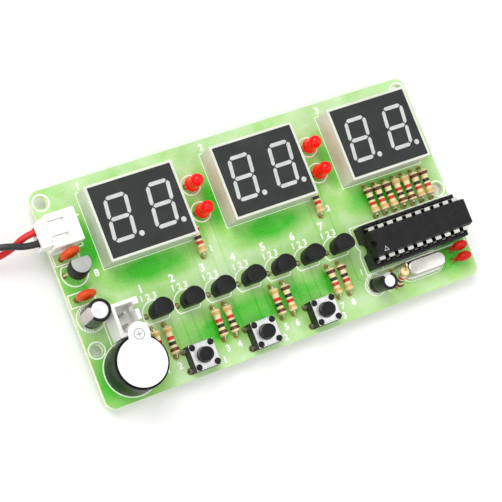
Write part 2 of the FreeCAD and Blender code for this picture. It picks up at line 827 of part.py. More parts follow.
def make_capacitors():
    leads = []
    cans = []
    sleeves = []
    bungs = []
    stands = {
        "reset_can": (reset_can_x, S.reset_can_y, S.reset_can_lean, S.reset_can_lean_way),
        "supply_can": (S.supply_can_x, S.supply_can_y, S.supply_can_lean, S.supply_can_lean_way),
    }
    for name, (x, y, lean, way) in stands.items():
        outside = f"{name}_diameter / 2"
        inside = f"{outside} - sleeve_thickness"
        lip = f"{outside} - sleeve_lip"
        top = f"{name}_height"
        roof = f"{top} - sleeve_thickness"
        can = turned(f"{name}_body", [
            ("0", "bung_height"), (inside, "bung_height"), (inside, roof), ("0", roof),
        ])
        sleeve = turned(f"{name}_sleeve", [
            (inside, "0"), (outside, "0"), (outside, top), (lip, top), (lip, roof), (inside, roof),
        ])
        bung = turned(f"{name}_bung", [
            ("0", "0"), (inside, "0"), (inside, "bung_height"), ("0", "bung_height"),
        ])
        heading = math.radians(way)
        hinge = FreeCAD.Vector(-math.sin(heading), math.cos(heading), 0)
        turn = FreeCAD.Rotation(hinge, lean)
        stand = FreeCAD.Placement(at(x, y, S.can_stand), turn)
        cans += copies(can, [stand])
        sleeves += copies(sleeve, [stand])
        bungs += copies(bung, [stand])
        for side in (-0.5, 0.5):
            foot = at(x + side * S.can_pitch, y)
            drill(foot, S.wire_lead / 2)
            head = stand.multVec(FreeCAD.Vector(side * S.can_pitch, 0, 0))
            slanted = Part.makeLoft([
                Part.Wire([Part.makeCircle(S.wire_lead / 2, foot, UP)]),
                Part.Wire([Part.makeCircle(S.wire_lead / 2, head, turn.multVec(UP))]),
            ], True, True)
            stub = rod(foot - UP * S.board_thickness, foot, S.wire_lead / 2)
            leads.append(stub.fuse(slanted))
    group("capacitor_cans", cans)
    group("capacitor_sleeves", sleeves)
    group("capacitor_bungs", bungs)

    crystal_disc_x = board_length - S.crystal_disc_edge
    disc_sets = {
        "disc_diameter": [
            (S.supply_disc_x, S.supply_disc_low, 0),
            (S.supply_disc_x, S.supply_disc_high, S.supply_disc_turn),
        ],
        "crystal_disc_diameter": [
            (crystal_disc_x, S.crystal_disc_low, 0),
            (crystal_disc_x, S.crystal_disc_low + S.crystal_disc_pitch, 0),
        ],
    }
    discs = []
    for diameter, spots in disc_sets.items():
        disc = turned(f"capacitor_{diameter}", [
            ("0", "-disc_thickness / 2"),
            (f"{diameter} / 4", "-disc_thickness / 2"),
            (f"{diameter} / 2", "-disc_rim / 2"),
            (f"{diameter} / 2", "disc_rim / 2"),
            (f"{diameter} / 4", "disc_thickness / 2"),
            ("0", "disc_thickness / 2"),
        ])
        radius = number(diameter) / 2
        centre = S.disc_stand + radius
        for x, y, turn in spots:
            spin = FreeCAD.Rotation(UP, turn)
            where = FreeCAD.Placement(at(x, y, centre), spin.multiply(FreeCAD.Rotation(ACROSS, 90)))
            discs += copies(disc, [where])
            for side in (-0.5, 0.5):
                foot = at(x, y) + spin.multVec(ACROSS) * (side * S.pin_pitch)
                drill(foot, S.wire_lead / 2)
                lead = rod(foot - UP * S.board_thickness, foot + UP * centre, S.wire_lead / 2)
                leads.append(lead.cut(Part.makeCylinder(
                    radius, 2 * S.disc_thickness,
                    at(x, y, centre) - spin.multVec(ALONG) * S.disc_thickness, spin.multVec(ALONG),
                )))
    group("ceramic_capacitors", discs)
    return leads


# Push switches.

def make_switches():
    well = "button_diameter + 2 * button_flange + 4 * button_clearance"
    well_height = "switch_base_height - switch_floor"
    rivet_at = S.switch_side / 2 - S.rivet_inset
    corners = [(sx * rivet_at, sy * rivet_at) for sx in (-1, 1) for sy in (-1, 1)]
    stop = "dome_height + button_travel + button_stop_gap"
    flange_top = "switch_base_height - switch_floor - button_clearance"
    flange_low = f"{flange_top} - button_flange_thickness"
    terminal_radius = math.hypot(S.terminal_width, S.terminal_thickness) / 2
    domes = []
    terminals = []
    for i, x in enumerate(switch_x, start=1):
        name = f"switch_{i}"
        where = place(x, S.switch_y)
        block = box(f"{name}_block", "switch_side", "switch_side", "switch_base_height")
        hollow = moved(cylinder(f"{name}_well", well, well_height), z=S.switch_floor)
        rivets = [
            moved(cylinder(f"{name}_rivet_{n}", "rivet_diameter",
                           "switch_base_height / 2 + cover_thickness + rivet_head"),
                  cx, cy, S.switch_base_height / 2)
            for n, (cx, cy) in enumerate(corners)
        ]
        shell = minus(f"{name}_shell", block, hollow)
        node(fused(f"{name}_base", shell, *rivets), f"{name}_base", where)

        plate = box(f"{name}_plate", "switch_side - 2 * cover_inset", "switch_side - 2 * cover_inset",
                    "cover_thickness")
        bore = cylinder(f"{name}_bore", "button_diameter + 2 * button_clearance", "cover_thickness")
        rivet_holes = [
            moved(cylinder(f"{name}_hole_{n}", "rivet_diameter + button_clearance", "cover_thickness"),
                  cx, cy)
            for n, (cx, cy) in enumerate(corners)
        ]
        node(minus(f"{name}_cover", plate, bore, *rivet_holes), f"{name}_cover",
             place(x, S.switch_y, S.switch_base_height))

        button = turned(f"{name}_button", [
            ("0", stop),
            ("button_nub / 2", stop),
            ("button_nub / 2", flange_low),
            ("button_diameter / 2 + button_flange", flange_low),
            ("button_diameter / 2 + button_flange", flange_top),
            ("button_diameter / 2", flange_top),
            ("button_diameter / 2", "switch_base_height - switch_floor + cover_thickness + button_height"),
            ("0", "switch_base_height - switch_floor + cover_thickness + button_height"),
        ])
        node(button, f"{name}_button", place(x, S.switch_y, S.switch_floor))

        dome = turned(f"{name}_dome", [
            ("0", "dome_height - dome_thickness"),
            ("dome_diameter / 2 - 2 * dome_thickness", "0"),
            ("dome_diameter / 2", "0"),
            ("dome_diameter / 4", "dome_height - dome_thickness / 2"),
            ("0", "dome_height"),
        ])
        domes += copies(dome, [place(x, S.switch_y, S.switch_floor)])
        for side in (-1, 1):
            for way in (-0.5, 0.5):
                inner = x + side * S.switch_side / 2
                outer = inner + side * S.terminal_reach
                y = S.switch_y + way * S.terminal_spacing - S.terminal_width / 2
                leg_x = outer - side * S.terminal_thickness
                drill(at((outer + leg_x) / 2, y + S.terminal_width / 2), terminal_radius, True)
                arm = Part.makeBox(S.terminal_reach, S.terminal_width, S.terminal_thickness,
                                   at(min(inner, outer), y, S.terminal_height - S.terminal_thickness))
                leg_height = S.terminal_height + S.board_thickness
                leg = Part.makeBox(S.terminal_thickness, S.terminal_width, leg_height,
                                   at(min(leg_x, outer), y, -S.board_thickness))
                terminals.append(arm.fuse(leg).removeSplitter())
    group("switch_domes", domes)
    group("switch_terminals", terminals)


# Sounder.

def make_sounder():
    inner = "sounder_diameter / 2 - sounder_wall"
    ledge_height = "sounder_height - sounder_wall - diaphragm_drop"
    where = place(S.sounder_x, sounder_y)
    case = turned("sounder_case", [
        (inner, "0"),
        ("sounder_diameter / 2", "0"),
        ("sounder_diameter / 2", "sounder_height"),
        ("sounder_hole / 2", "sounder_height"),
        ("sounder_hole / 2", "sounder_height - sounder_wall"),
        (f"{inner} - sounder_ledge", "sounder_height - sounder_wall"),
        (f"{inner} - sounder_ledge", ledge_height),
        (inner, ledge_height),
    ])
    node(case, "sounder_case", where)
    plate = turned("sounder_base", [
        ("0", "0"),
        (f"{inner} - sounder_clearance", "0"),
        (f"{inner} - sounder_clearance", "sounder_base"),
        ("0", "sounder_base"),
    ])
    node(plate, "sounder_base", where)
    under = f"({ledge_height} - diaphragm_thickness)"
    coil = turned("sounder_coil", [
        ("0", "sounder_base"),
        ("coil_diameter / 2", "sounder_base"),
        ("coil_diameter / 2", f"{under} - 2 * coil_gap"),
        ("coil_diameter / 4", f"{under} - 2 * coil_gap"),
        ("coil_diameter / 4", f"{under} - coil_gap"),
        ("0", f"{under} - coil_gap"),
    ])
    node(coil, "sounder_coil", where)
    disc = turned("sounder_diaphragm", [
        ("0", under),
        (f"{inner} - sounder_clearance", under),
        (f"{inner} - sounder_clearance", ledge_height),
        ("0", ledge_height),
    ])
    node(disc, "sounder_diaphragm", where)

    patch = cylinder("seal_patch", "seal_diameter", "seal_thickness")
    tab_end = cylinder("seal_tab_end", "seal_tab_width", "seal_thickness")
    tab_length = S.seal_tab_reach - S.seal_tab_width / 2
    moved(tab_end, x=tab_length)
    tab = box("seal_tab", "seal_tab_reach - seal_tab_width / 2", "seal_tab_width", "seal_thickness")
    moved(tab, x=tab_length / 2)
    node(fused("sounder_seal", patch, tab, tab_end), "sounder_seal",
         place(S.sounder_x, sounder_y, S.sounder_height, S.seal_tab_turn))
    group("sounder_pins", [
        straight_lead(S.sounder_x + way * S.sounder_pitch, sounder_y, 0, S.sounder_pin / 2, standing=True)
        for way in (-0.5, 0.5)
    ])


# Headers and power lead.

def make_headers():
    """The upright spare header, the power header that lies down, and their pins."""
    block = box("spare_block", "header_depth", "header_width", "header_height")
    posts = [
        moved(box(f"spare_post_{i}", "header_post", "header_wall * 2", "header_height"),
              (S.header_depth + S.header_post) / 2, way * (S.header_width / 2 - S.header_wall))
        for i, way in enumerate((-1, 1))
    ]
    hollow = moved(box("spare_hollow", "header_depth - 2 * header_wall", "header_width - 2 * header_wall",
                       "header_height - header_floor"), z=S.header_floor)
    notches = [
        moved(box(f"spare_notch_{i}", "header_wall * 2", "header_notch", "header_height - 2 * header_floor"),
              (S.header_depth - S.header_wall) / 2, way * S.header_notch_offset, 2 * S.header_floor)
        for i, way in enumerate((-1, 1))
    ]
    holes = doc.addObject("Part::Feature", "spare_pin_holes")
    holes.Shape = Part.makeCompound([
        Part.makeBox(S.header_pin, S.header_pin, S.header_floor,
                     FreeCAD.Vector(-S.header_pin / 2, way * S.header_pitch - S.header_pin / 2, 0))
        for way in (-0.5, 0.5)
    ])
    shell = fused("spare_shell", block, *posts)
    node(minus("spare_header", shell, hollow, *notches, holes), "spare_header",
         place(S.spare_header_x, S.spare_header_y))
    pins = [
        square_pin(S.spare_header_x, S.spare_header_y + way * S.header_pitch,
                   S.header_height - S.pin_short, S.header_pin, True)
        for way in (-0.5, 0.5)
    ]

    block = box("power_block", "power_header_length", "header_width", "power_header_height")
    mouth = box("power_mouth", "power_header_length - header_floor", "header_width - 2 * header_wall",
                "power_header_height - 2 * header_wall")
    moved(mouth, -S.header_floor / 2, 0, S.header_wall)
    slots = [
        moved(box(f"power_slot_{i}", "power_header_length - 2 * header_floor", "header_notch",
                  "header_wall * 2"),
              -S.header_floor, way * S.header_notch_offset, S.power_header_height - S.header_wall)
        for i, way in enumerate((-1, 1))
    ]
    passages = doc.addObject("Part::Feature", "power_pin_holes")
    back_x = S.power_header_length / 2 - S.header_floor
    axis = S.power_header_height / 2
    passages.Shape = Part.makeCompound([
        Part.makeBox(S.header_floor, S.header_pin, axis + S.header_pin / 2,
                     FreeCAD.Vector(back_x, way * S.header_pitch - S.header_pin / 2, 0))
        for way in (-0.5, 0.5)
    ])
    header_x = S.power_header_edge + S.power_header_length / 2
    node(minus("power_header", block, mouth, *slots, passages), "power_header",
         place(header_x, S.power_header_y))
    for way in (-0.5, 0.5):
        y = S.power_header_y + way * S.header_pitch
        foot_x = header_x + S.power_header_length / 2 - S.header_floor / 2
        upright = square_pin(foot_x, y, axis + S.header_pin / 2, S.header_pin, True)
        tip_x = S.power_header_edge + S.pin_short
        arm = Part.makeBox(foot_x - tip_x, S.header_pin, S.header_pin,
                           at(tip_x, y - S.header_pin / 2, axis - S.header_pin / 2))
        pins.append(upright.fuse(arm).removeSplitter())
    group("header_pins", pins)


def make_plug():
    """The plug in the power header with its two crimped contacts."""
    mouth_back = S.power_header_edge + S.power_header_length - S.header_floor
    length = S.plug_tail + mouth_back - S.plug_gap
    middle_x = -S.plug_tail + length / 2
    axis = S.power_header_height / 2
    bind_length = "plug_tail + power_header_edge + power_header_length - header_floor - plug_gap"
    tall = "power_header_height - 2 * header_wall - 2 * plug_clearance"
    block = box("plug_block", bind_length, "header_width - 2 * header_wall - 2 * plug_clearance", tall)
    bores = [
        moved(box(f"plug_bore_{i}", bind_length, "plug_bore", "plug_bore"),
              0, way * S.header_pitch, (number(tall) - S.plug_bore) / 2)
        for i, way in enumerate((-0.5, 0.5))
    ]
    node(minus("power_plug", block, *bores), "power_plug",
         place(middle_x, S.power_header_y, S.header_wall + S.plug_clearance))
    contact_length = length - 2 * S.contact_inset
    contacts = []
    hollow_side = S.contact_side - 2 * S.contact_wall
    for way in (-0.5, 0.5):
        y = S.power_header_y + way * S.header_pitch
        start = -S.plug_tail + S.contact_inset
        sleeve = Part.makeBox(contact_length, S.contact_side, S.contact_side,
                              at(start, y - S.contact_side / 2, axis - S.contact_side / 2))
        hollow = Part.makeBox(contact_length - S.contact_inset, hollow_side, hollow_side,
                              at(start + S.contact_inset, y - hollow_side / 2, axis - hollow_side / 2))
        contacts.append(sleeve.cut(hollow))
    group("plug_contacts", contacts)


def make_leads():
    """The red and the black wire from the plug to their coils, which lie on each other on the floor."""
    exit_x = -board_length / 2 - S.plug_tail + S.contact_inset
    exit_z = top + S.power_header_height / 2
    red_y = S.power_header_y + S.header_pitch / 2 - board_width / 2
    black_y = S.power_header_y - S.header_pitch / 2 - board_width / 2
    radius = S.wire_diameter / 2
    outer = S.coil_radius + (S.coil_turns - 1) * S.wire_diameter / 2
    routes = {
        "red": [
            (exit_x, red_y, exit_z),
            (-52.6, red_y, exit_z),
            (-56.0, 14.2, 4.6),
            (-61.0, 13.6, 2.4),
            (-67.8, 14.2, radius),
            (S.coil_x, S.coil_y + outer, radius),
        ],
        "black": [
            (exit_x, black_y, exit_z),
            (-53.0, black_y, exit_z),
            (-57.0, 14.95, 7.3),
            (-61.8, 15.8, 5.6),
            (-68.0, 15.3, 3.2),
            (S.coil_x, S.coil_y + outer, 3 * radius),
        ],
    }
    for layer, (colour, points) in enumerate(routes.items()):
        route = [FreeCAD.Vector(*point) for point in points]
        bends = []
        for before, corner, after in zip(route, route[1:], route[2:]):
            turn = (corner - before).getAngle(after - corner)
            shorter = min((corner - before).Length, (after - corner).Length)
            bends.append(0.45 * shorter / math.tan(turn / 2))
        print(colour, "wire bend radii", [round(bend, 1) for bend in bends])
        path = rounded_path(route, bends)
        wire = tube(path, radius)
        expected = math.pi * radius ** 2 * path.Length
        print(colour, "wire length", round(path.Length, 1), "volume ratio", round(wire.Volume / expected, 4))
        group(f"{colour}_wire", [wire])
        ring = Part.makeCylinder(
            outer + radius, S.wire_diameter,
            FreeCAD.Vector(S.coil_x, S.coil_y, layer * S.wire_diameter),
        )
        core = Part.makeCylinder(
            outer + radius - S.coil_turns * S.wire_diameter - radius, S.wire_diameter,
            FreeCAD.Vector(S.coil_x, S.coil_y, layer * S.wire_diameter),
        )
        group(f"{colour}_wire_coil", [ring.cut(core)])


# Circuit board and solder joints, from the holes that the leads asked for.

def make_board():
    half_x = board_length / 2
    half_y = board_width / 2
    length = ("left_margin + 3 * display_length + right_margin"
              " + 2 * (wall_clearance + resistor_diameter + lamp_clearance + lamp_flange + lamp_room)")
    width = "display_bottom + display_width + top_margin"
    plate = padded("board_plate", "XY_Plane", [
        (f"-({length}) / 2", f"-({width}) / 2"),
        (f"({length}) / 2", f"-({width}) / 2"),
        (f"({length}) / 2", f"({width}) / 2"),
        (f"-({length}) / 2", f"({width}) / 2"),
    ], "board_thickness")
    rounded(plate, upright, "board_corner")
    mounts = [
        (S.mount_edge, board_width - S.mount_top_edge),
        (board_length - S.mount_edge, board_width - S.mount_top_edge),
        (S.mount_edge, S.mount_left_height),
        (board_length - S.mount_edge, S.mount_right_height),
    ]
    drills = [
        Part.makeCylinder(S.mount_hole / 2, S.board_thickness, FreeCAD.Vector(x - half_x, y - half_y, 0))
        for x, y in mounts
    ]
    joints = {True: [], False: []}
    for x, y, radius, standing in pads:
        hole = radius + S.drill_clearance
        drills.append(Part.makeCylinder(hole, S.board_thickness, FreeCAD.Vector(x, y, 0)))
        tail = S.board_stand if standing else S.board_stand - S.joint_short
        joints[standing].append(Part.makeCone(
            hole + S.joint_width, radius + S.joint_tip, tail, FreeCAD.Vector(x, y, S.board_stand), -UP,
        ))
    drilled = doc.addObject("Part::Feature", "board_drills")
    drilled.Shape = Part.makeCompound(drills)
    board = minus("circuit_board", plate, drilled)
    node(board, "circuit_board", FreeCAD.Placement(UP * S.board_stand, FreeCAD.Rotation()))
    group("solder_joints", joints[False])
    group("standing_solder_joints", joints[True])


make_displays()
semiconductor_leads = make_lamps() + make_transistors()
group("semiconductor_leads", semiconductor_leads)
make_resistors()
make_chip()
capacitor_leads = make_crystal() + make_capacitors()
group("capacitor_leads", capacitor_leads)
make_switches()
make_sounder()
make_headers()
make_plug()
make_leads()
make_board()

doc.recompute()
for item in doc.Objects:
    if "Invalid" in item.State or "Error" in item.State:
        raise RuntimeError(f"{item.Label} failed: {item.State}")
os.makedirs("parts", exist_ok=True)
for item in nodes:
    if item.Shape.isNull() or not item.Shape.isValid() or not item.Shape.Solids:
        raise RuntimeError(f"{item.Label} has no valid solid")
for item in nodes:
    item.Shape.exportStep(f"parts/{item.Label}.step")
print(len(nodes), "sub-parts,", sum(len(item.Shape.Solids) for item in nodes), "solids,",
      "board", round(board_length, 2), "x", round(board_width, 2))
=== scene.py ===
import json
import math

import bmesh
import bpy
import numpy as np
from mathutils import Matrix, Quaternion, Vector


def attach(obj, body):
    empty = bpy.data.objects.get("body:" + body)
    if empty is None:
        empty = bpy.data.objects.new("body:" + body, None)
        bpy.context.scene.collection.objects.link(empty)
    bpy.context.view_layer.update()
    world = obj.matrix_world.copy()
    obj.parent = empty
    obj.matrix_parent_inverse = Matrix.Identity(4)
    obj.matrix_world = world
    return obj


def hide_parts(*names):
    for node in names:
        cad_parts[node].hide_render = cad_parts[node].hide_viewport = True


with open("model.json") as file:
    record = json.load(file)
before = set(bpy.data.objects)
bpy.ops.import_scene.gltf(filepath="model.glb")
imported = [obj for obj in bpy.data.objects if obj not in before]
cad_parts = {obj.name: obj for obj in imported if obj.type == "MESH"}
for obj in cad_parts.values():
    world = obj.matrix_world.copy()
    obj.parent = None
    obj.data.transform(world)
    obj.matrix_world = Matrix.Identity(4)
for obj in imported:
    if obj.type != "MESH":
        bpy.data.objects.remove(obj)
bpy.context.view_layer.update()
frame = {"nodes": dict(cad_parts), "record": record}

nodes = frame["nodes"]
scene = bpy.context.scene
scene.view_settings.view_transform = "Standard"

# Everything is drawn in millimetres: in the part's own frame, which ROW turns into metres, or on the board
# from its lower left corner and its upper face, which BOARD turns into metres.
MM = 0.001
LENGTH, WIDTH, BOARD_THICK = 96.0, 50.0, 1.6
BOARD_TOP = 3.8
UNDER = -BOARD_THICK
ROW = Matrix.Scale(MM, 4)
BOARD = ROW @ Matrix.Translation((-LENGTH / 2, -WIDTH / 2, BOARD_TOP))
TINY = 1e-6


# Places of the pieces on the board.

def evenly(first, step, count):
    """Places in a row with the same step."""
    return [first + step * i for i in range(count)]


DISPLAYS = evenly(20.9, 30.35, 3)
DISPLAY_Y = 37.95
TRANSISTORS = evenly(17.69, 7.62, 7)
TRANSISTOR_Y = 16.35
SWITCHES = evenly(23.46, 15.35, 3)
SWITCH_Y = 4.13
SOUNDER = (8.05, 7.0)
REGULATOR = (3.75, 30.5)
SUPPLY_CAN = (3.5, 20.1)
RESET_CAN = (69.6, 5.7)
DISCS = [(3.2, 24.7), (3.2, 34.35)]
CHIP = (82.0, 14.1)
CRYSTAL = (82.3, 6.2)
CRYSTAL_HALF = 3.2
SPARE_HEADER = (9.4, 17.0)
POWER_HEADER = (3.9, 39.7)
MOUNTS = [(2.2, 47.2), (93.8, 47.2), (2.2, 13.1), (93.8, 22.0)]


# Camera.

camera = bpy.data.objects.new("camera", bpy.data.cameras.new("camera"))
camera.data.lens = 118.57
camera.data.sensor_width = 36.0
camera.data.clip_start = 0.01
camera.data.clip_end = 20.0
camera.rotation_mode = "QUATERNION"
camera.rotation_quaternion = Quaternion((0.964122, 0.0816447, -0.1844785, -0.1725412))
camera.location = (-0.146157, -0.037232, 0.343609)
scene.collection.objects.link(camera)
scene.camera = camera


# Materials.

NOISE_ROUGH = 0.55
GRAIN_DEEP = 0.03 * MM
CLOTH_DEEP = 0.02 * MM


def rgb(red, green, blue):
    """A linear colour from the usual 0 to 255 values."""
    values = [v / 255 for v in (red, green, blue)]
    return [v / 12.92 if v <= 0.04045 else ((v + 0.055) / 1.055) ** 2.4 for v in values] + [1.0]


class Graph:
    """A material's node tree with the few links that every finish here needs."""

    def __init__(self, name):
        self.material = bpy.data.materials.new(name)
        self.material.use_nodes = True
        self.tree = self.material.node_tree
        self.shader = self.tree.nodes["Principled BSDF"]
        self.place = self.add("ShaderNodeTexCoord").outputs["Object"]

    def add(self, kind, **values):
        node = self.tree.nodes.new(kind)
        for key, value in values.items():
            setattr(node, key, value)
        return node

    def link(self, out, into):
        self.tree.links.new(out, into)

    def feed(self, value, socket):
        """Links a node's output to a socket, or sets the socket to a constant."""
        if isinstance(value, bpy.types.NodeSocket):
            self.link(value, socket)
        else:
            socket.default_value = value

    def shade(self, socket, out):
        self.link(out, self.shader.inputs[socket])

    def noise(self, scale, detail=3.0, stretch=None):
        node = self.add("ShaderNodeTexNoise")
        node.inputs["Scale"].default_value = scale
        node.inputs["Detail"].default_value = detail
        node.inputs["Roughness"].default_value = NOISE_ROUGH
        vector = self.place
        if stretch:
            mapping = self.add("ShaderNodeMapping")
            mapping.inputs["Scale"].default_value = stretch
            self.link(vector, mapping.inputs["Vector"])
            vector = mapping.outputs["Vector"]
        self.link(vector, node.inputs["Vector"])
        return node.outputs["Fac"]

    def ramp(self, fac, colours, low=0.3, high=0.7):
        node = self.add("ShaderNodeValToRGB")
        stops = node.color_ramp.elements
        while len(stops) < len(colours):
            stops.new(0.5)
        for i, colour in enumerate(colours):
            stops[i].position = low + (high - low) * i / (len(colours) - 1)
            stops[i].color = colour
        self.link(fac, node.inputs["Fac"])
        return node.outputs["Color"]

    def spread(self, fac, low, high, start=0.3, end=0.7):
        """Maps the range from start to end onto the range from low to high."""
        node = self.add("ShaderNodeMapRange")
        ranges = {"Value": fac, "From Min": start, "From Max": end, "To Min": low, "To Max": high}
        for key, value in ranges.items():
            self.feed(value, node.inputs[key])
        return node.outputs["Result"]

    def mix(self, fac, first, second):
        """Blends two colours; the numbers are the places of a mix node's colour sockets."""
        node = self.add("ShaderNodeMix", data_type="RGBA")
        for value, socket in ((fac, 0), (first, 6), (second, 7)):
            self.feed(value, node.inputs[socket])
        return node.outputs[2]

    def maths(self, operation, first, second=0.0):
        node = self.add("ShaderNodeMath", operation=operation)
        self.feed(first, node.inputs[0])
        self.feed(second, node.inputs[1])
        return node.outputs[0]

    def bump(self, height, strength, distance):
        node = self.add("ShaderNodeBump")
        node.inputs["Strength"].default_value = strength
        node.inputs["Distance"].default_value = distance
        self.link(height, node.inputs["Height"])
        self.shade("Normal", node.outputs["Normal"])

    def set(self, **values):
        for key, value in values.items():
            self.shader.inputs[key.replace("_", " ")].default_value = value


def finish(name, dark, light, rough, drift, grain, relief, stretch=None, **fixed):
    """A finish whose colour drifts between two tones, with fine grain in its gloss and relief."""
    graph = Graph(name)
    tint = graph.noise(drift, 4.0, stretch)
    graph.shade("Base Color", graph.ramp(tint, [rgb(*dark), rgb(*light)]))
    fine = graph.noise(grain, 3.0, stretch)
    graph.shade("Roughness", graph.spread(fine, *rough))
    graph.bump(fine, relief, GRAIN_DEEP)
    graph.set(**fixed)
    return graph.material


LACQUER_TONES = [rgb(206, 229, 186), rgb(155, 207, 113), rgb(54, 184, 24)]
CLOTH_TONE = rgb(216, 234, 190)
EDGE_TONES = [rgb(214, 222, 178), rgb(236, 236, 206)]
CLOTH_SCALE = 420.0
# Patches of painted shade, where the board's green is painted deepest round and under the parts: middle,
# half sizes and strength.
SHADE_PATCHES = [
    (20.5, 26.6, 16.0, 5.6, 1.0), (50.5, 26.6, 14.5, 5.6, 1.0), (80.5, 25.5, 17.0, 6.5, 1.0),
    (8.6, 35.0, 4.5, 11.0, 1.0), (39.4, 35.5, 4.0, 11.0, 1.0), (69.6, 36.0, 3.6, 11.0, 0.8),
    (34.5, 34.0, 4.0, 9.0, 0.75), (65.0, 34.0, 4.0, 9.0, 0.75), (42.0, 9.6, 36.0, 6.8, 0.9),
    (91.0, 7.0, 8.0, 8.0, 1.0), (82.0, 14.0, 17.5, 9.5, 0.75), (3.0, 28.0, 5.5, 9.0, 0.8),
    (6.0, 6.0, 13.0, 11.0, 1.0), (29.0, 8.5, 8.0, 5.5, 1.0), (58.5, 10.0, 5.0, 5.0, 0.95),
    (45.0, 9.5, 4.0, 5.0, 0.95), (94.0, 33.0, 4.0, 8.0, 0.6),
]


def board_finish(name, deeper=0.0):
    """Green lacquer on glass cloth: pale at large, deeper in patches of painted shade on top, with a faint
    painted glow, bare at the edges.
    """
    graph = Graph(name)
    facing = graph.add("ShaderNodeSeparateXYZ")
    graph.link(graph.add("ShaderNodeNewGeometry").outputs["True Normal"], facing.inputs["Vector"])
    upper = graph.maths("MAXIMUM", facing.outputs["Z"], 0.0)
    flat = graph.maths("ABSOLUTE", facing.outputs["Z"])
    green = graph.spread(graph.noise(90.0), 0.14, 0.46, 0.36, 0.68)
    # Painted shade: each patch deepens the green of upward faces near its middle.
    for x, y, wide, tall, strength in SHADE_PATCHES:
        patch = graph.add("ShaderNodeMapping", vector_type="TEXTURE")
        patch.inputs["Location"].default_value = BOARD @ Vector((x, y, 0.0))
        patch.inputs["Scale"].default_value = (wide * MM, tall * MM, 1.0)
        graph.link(graph.place, patch.inputs["Vector"])
        far = graph.add("ShaderNodeVectorMath", operation="LENGTH")
        graph.link(patch.outputs["Vector"], far.inputs[0])
        shade_patch = graph.spread(far.outputs["Value"], strength, 0.0, 0.3, 1.1)
        green = graph.maths("MAXIMUM", green, graph.maths("MULTIPLY", shade_patch, upper))
    mottle = graph.spread(graph.noise(260.0), deeper - 0.09, deeper + 0.09)
    lacquer = graph.ramp(graph.maths("ADD", green, mottle), LACQUER_TONES, 0.0, 1.0)
    threads = []
    for direction in ("X", "Y"):
        wave = graph.add("ShaderNodeTexWave", bands_direction=direction)
        wave.inputs["Scale"].default_value = CLOTH_SCALE
        wave.inputs["Distortion"].default_value = 1.2
        graph.link(graph.place, wave.inputs["Vector"])
        threads.append(wave.outputs["Fac"])
    weave = graph.maths("MULTIPLY", *threads)
    woven = graph.mix(graph.spread(weave, 0.0, 0.04, 0.0, 1.0), lacquer, CLOTH_TONE)
    edge = graph.ramp(graph.noise(900.0, 2.0, (1, 1, 6)), EDGE_TONES)
    colour = graph.mix(flat, edge, woven)
    graph.shade("Base Color", colour)
    # Painted glow: the lacquer's colour also shines faintly, lifting its shaded places.
    graph.shade("Emission Color", colour)
    graph.shade("Roughness", graph.spread(graph.noise(1600.0), 0.22, 0.38))
    graph.bump(weave, 0.1, CLOTH_DEEP)
    graph.set(Specular_IOR_Level=0.35, Emission_Strength=0.06)
    return graph.material


def lamp_finish(name):
    """Red cast resin, with a painted glow that lightens its shaded creases."""
    graph = Graph(name)
    graph.shade("Base Color", graph.ramp(graph.noise(500.0, 2.0), [rgb(226, 4, 4), rgb(250, 10, 8)]))
    graph.shade("Roughness", graph.spread(graph.noise(2500.0), 0.08, 0.16))
    graph.bump(graph.noise(900.0, 2.0), 0.03, GRAIN_DEEP)
    # Painted glow: a faint red emission lifts the shade in the resin's creases.
    graph.set(Specular_IOR_Level=0.3, Emission_Color=rgb(255, 10, 8), Emission_Strength=0.22)
    return graph.material


PLAIN = {}
METAL = dict(Metallic=1.0)
BRUSHED = dict(METAL, stretch=(8, 1, 1))
DULL = dict(Specular_IOR_Level=0.22)
DULLEST = dict(Specular_IOR_Level=0.1)
# Painted glow: a faint emission that lifts shaded white markings.
PAINTED_GLOW = dict(Emission_Strength=0.1)
